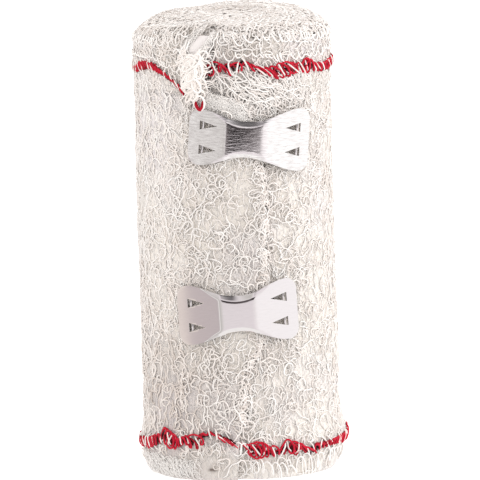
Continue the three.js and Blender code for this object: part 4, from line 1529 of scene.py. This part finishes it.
def mirrored_room():
    """A half dome round the front of the roll that only mirroring rays meet, with its colour at each point:
    a bright room with dark stands, as the clips mirror it."""
    columns, across_rows = 201, 76
    azimuth, rise = np.meshgrid(
        np.linspace(-ROOM["side"], ROOM["side"], columns),
        np.linspace(ROOM["low"], ROOM["high"], across_rows),
    )
    radius = ROOM["radius"]
    points = np.stack([
        radius * np.cos(rise * DEG) * np.sin(azimuth * DEG),
        -radius * np.cos(rise * DEG) * np.cos(azimuth * DEG),
        radius * np.sin(rise * DEG) + ROOM["lift"],
    ], -1).reshape(-1, 3)
    grid = np.arange(columns * across_rows).reshape(across_rows, columns)
    faces = np.stack([grid[:-1, :-1], grid[1:, :-1], grid[1:, 1:], grid[:-1, 1:]], -1).reshape(-1, 4)
    marks = dict(zip(("red", "green", "blue"), np.moveaxis(room_colour(azimuth, rise), -1, 0)))
    room = put_mesh("mirrored_room", points, [faces], marks=marks, body=None)
    made, tree = new_material("mirrored_room")
    parts = [add(tree, "ShaderNodeAttribute", attribute_name=channel).outputs["Fac"] for channel in marks]
    colour = add(tree, "ShaderNodeCombineColor", links=enumerate(parts)).outputs[0]
    glow = add(tree, "ShaderNodeEmission", links={0: colour}, inputs={1: MIRROR_GAIN}).outputs[0]
    add(tree, "ShaderNodeOutputMaterial", links={"Surface": glow})
    room.data.materials.append(made)
    room.visible_camera = room.visible_diffuse = room.visible_shadow = False
    room.visible_transmission = room.visible_volume_scatter = False


def leaned(right, up, lean):
    """The two axes of a picture, turned about its line of sight by a lean in radians."""
    return right * np.cos(lean) - up * np.sin(lean), right * np.sin(lean) + up * np.cos(lean)


def look_at(place, target, lean):
    """Matrix of a thing at a place that looks at a target, turned about its line of sight by a lean."""
    back = (place - target) / np.linalg.norm(place - target)
    right = np.cross([0, 0, 1], back)
    right /= np.linalg.norm(right)
    matrix = np.eye(4)
    matrix[:3, :3] = np.stack([*leaned(right, np.cross(back, right), lean), back], -1)
    matrix[:3, 3] = place * MM
    return Matrix(matrix.tolist())


def put_camera():
    """A long lens at the photograph's angle. The lens gives the photograph's scale at the roll's axis, and
    the aim puts the roll's origin on its pixel."""
    data = bpy.data.cameras.new("camera")
    data.sensor_width = SENSOR
    data.lens = PIXELS_PER_MM * SENSOR * DISTANCE / IMAGE
    data.clip_start, data.clip_end = 0.01, 20
    camera = bpy.data.objects.new("camera", data)
    bpy.context.scene.collection.objects.link(camera)
    rise, lean = ELEVATION * DEG, LEAN * DEG
    back = np.array([0, -np.cos(rise), np.sin(rise)])
    right, up = leaned(np.array([1.0, 0, 0]), np.array([0, np.sin(rise), np.cos(rise)]), lean)
    aside, above = IMAGE / 2 - ORIGIN_PIXEL[0], ORIGIN_PIXEL[1] - IMAGE / 2
    aim = right * aside / PIXELS_PER_MM + up * above / PIXELS_PER_MM
    camera.matrix_world = look_at(aim + back * DISTANCE, aim, lean)
    bpy.context.scene.camera = camera


def bandage():
    """All the pieces of the bandage."""
    white = yarn_material("cotton_yarn", WHITE_YARN, twist=0.35, mottled=0.0, sheen=0.7)
    red = yarn_material("red_cotton_yarn", RED_YARN, twist=0.5, mottled=0.9, sheen=0.1)
    wound_cloth(crepe_base_material())
    put_wall_pile(white)
    put_end_pile("pile_top", True, 1800, 31, white)
    put_end_pile("pile_bottom", False, 600, 32, white)
    put_lap_edges(white)
    put_fuzz("puffed_fuzz", PUFFED_EDGE, 600, (0.0, 1.6), 47, white)
    put_fuzz("turned_fuzz", TURNED_PIECE, 900, (0.45, 1.5), 48, white)
    put_fuzz("foot_fuzz", FOOT_STRIP, 700, (0.0, 1.2), 49, white)
    put_bundle(white)
    put_hanging_loops(white)
    put_red_yarns(red, white)
    put_white_loops(white)
    for clip in CLIPS:
        stretch_clip(clip, clip_material("brushed_aluminium_" + clip["name"], clip["brushed"]))


put_camera()
pale_floor()
soft_light()
mirrored_room()
bandage()
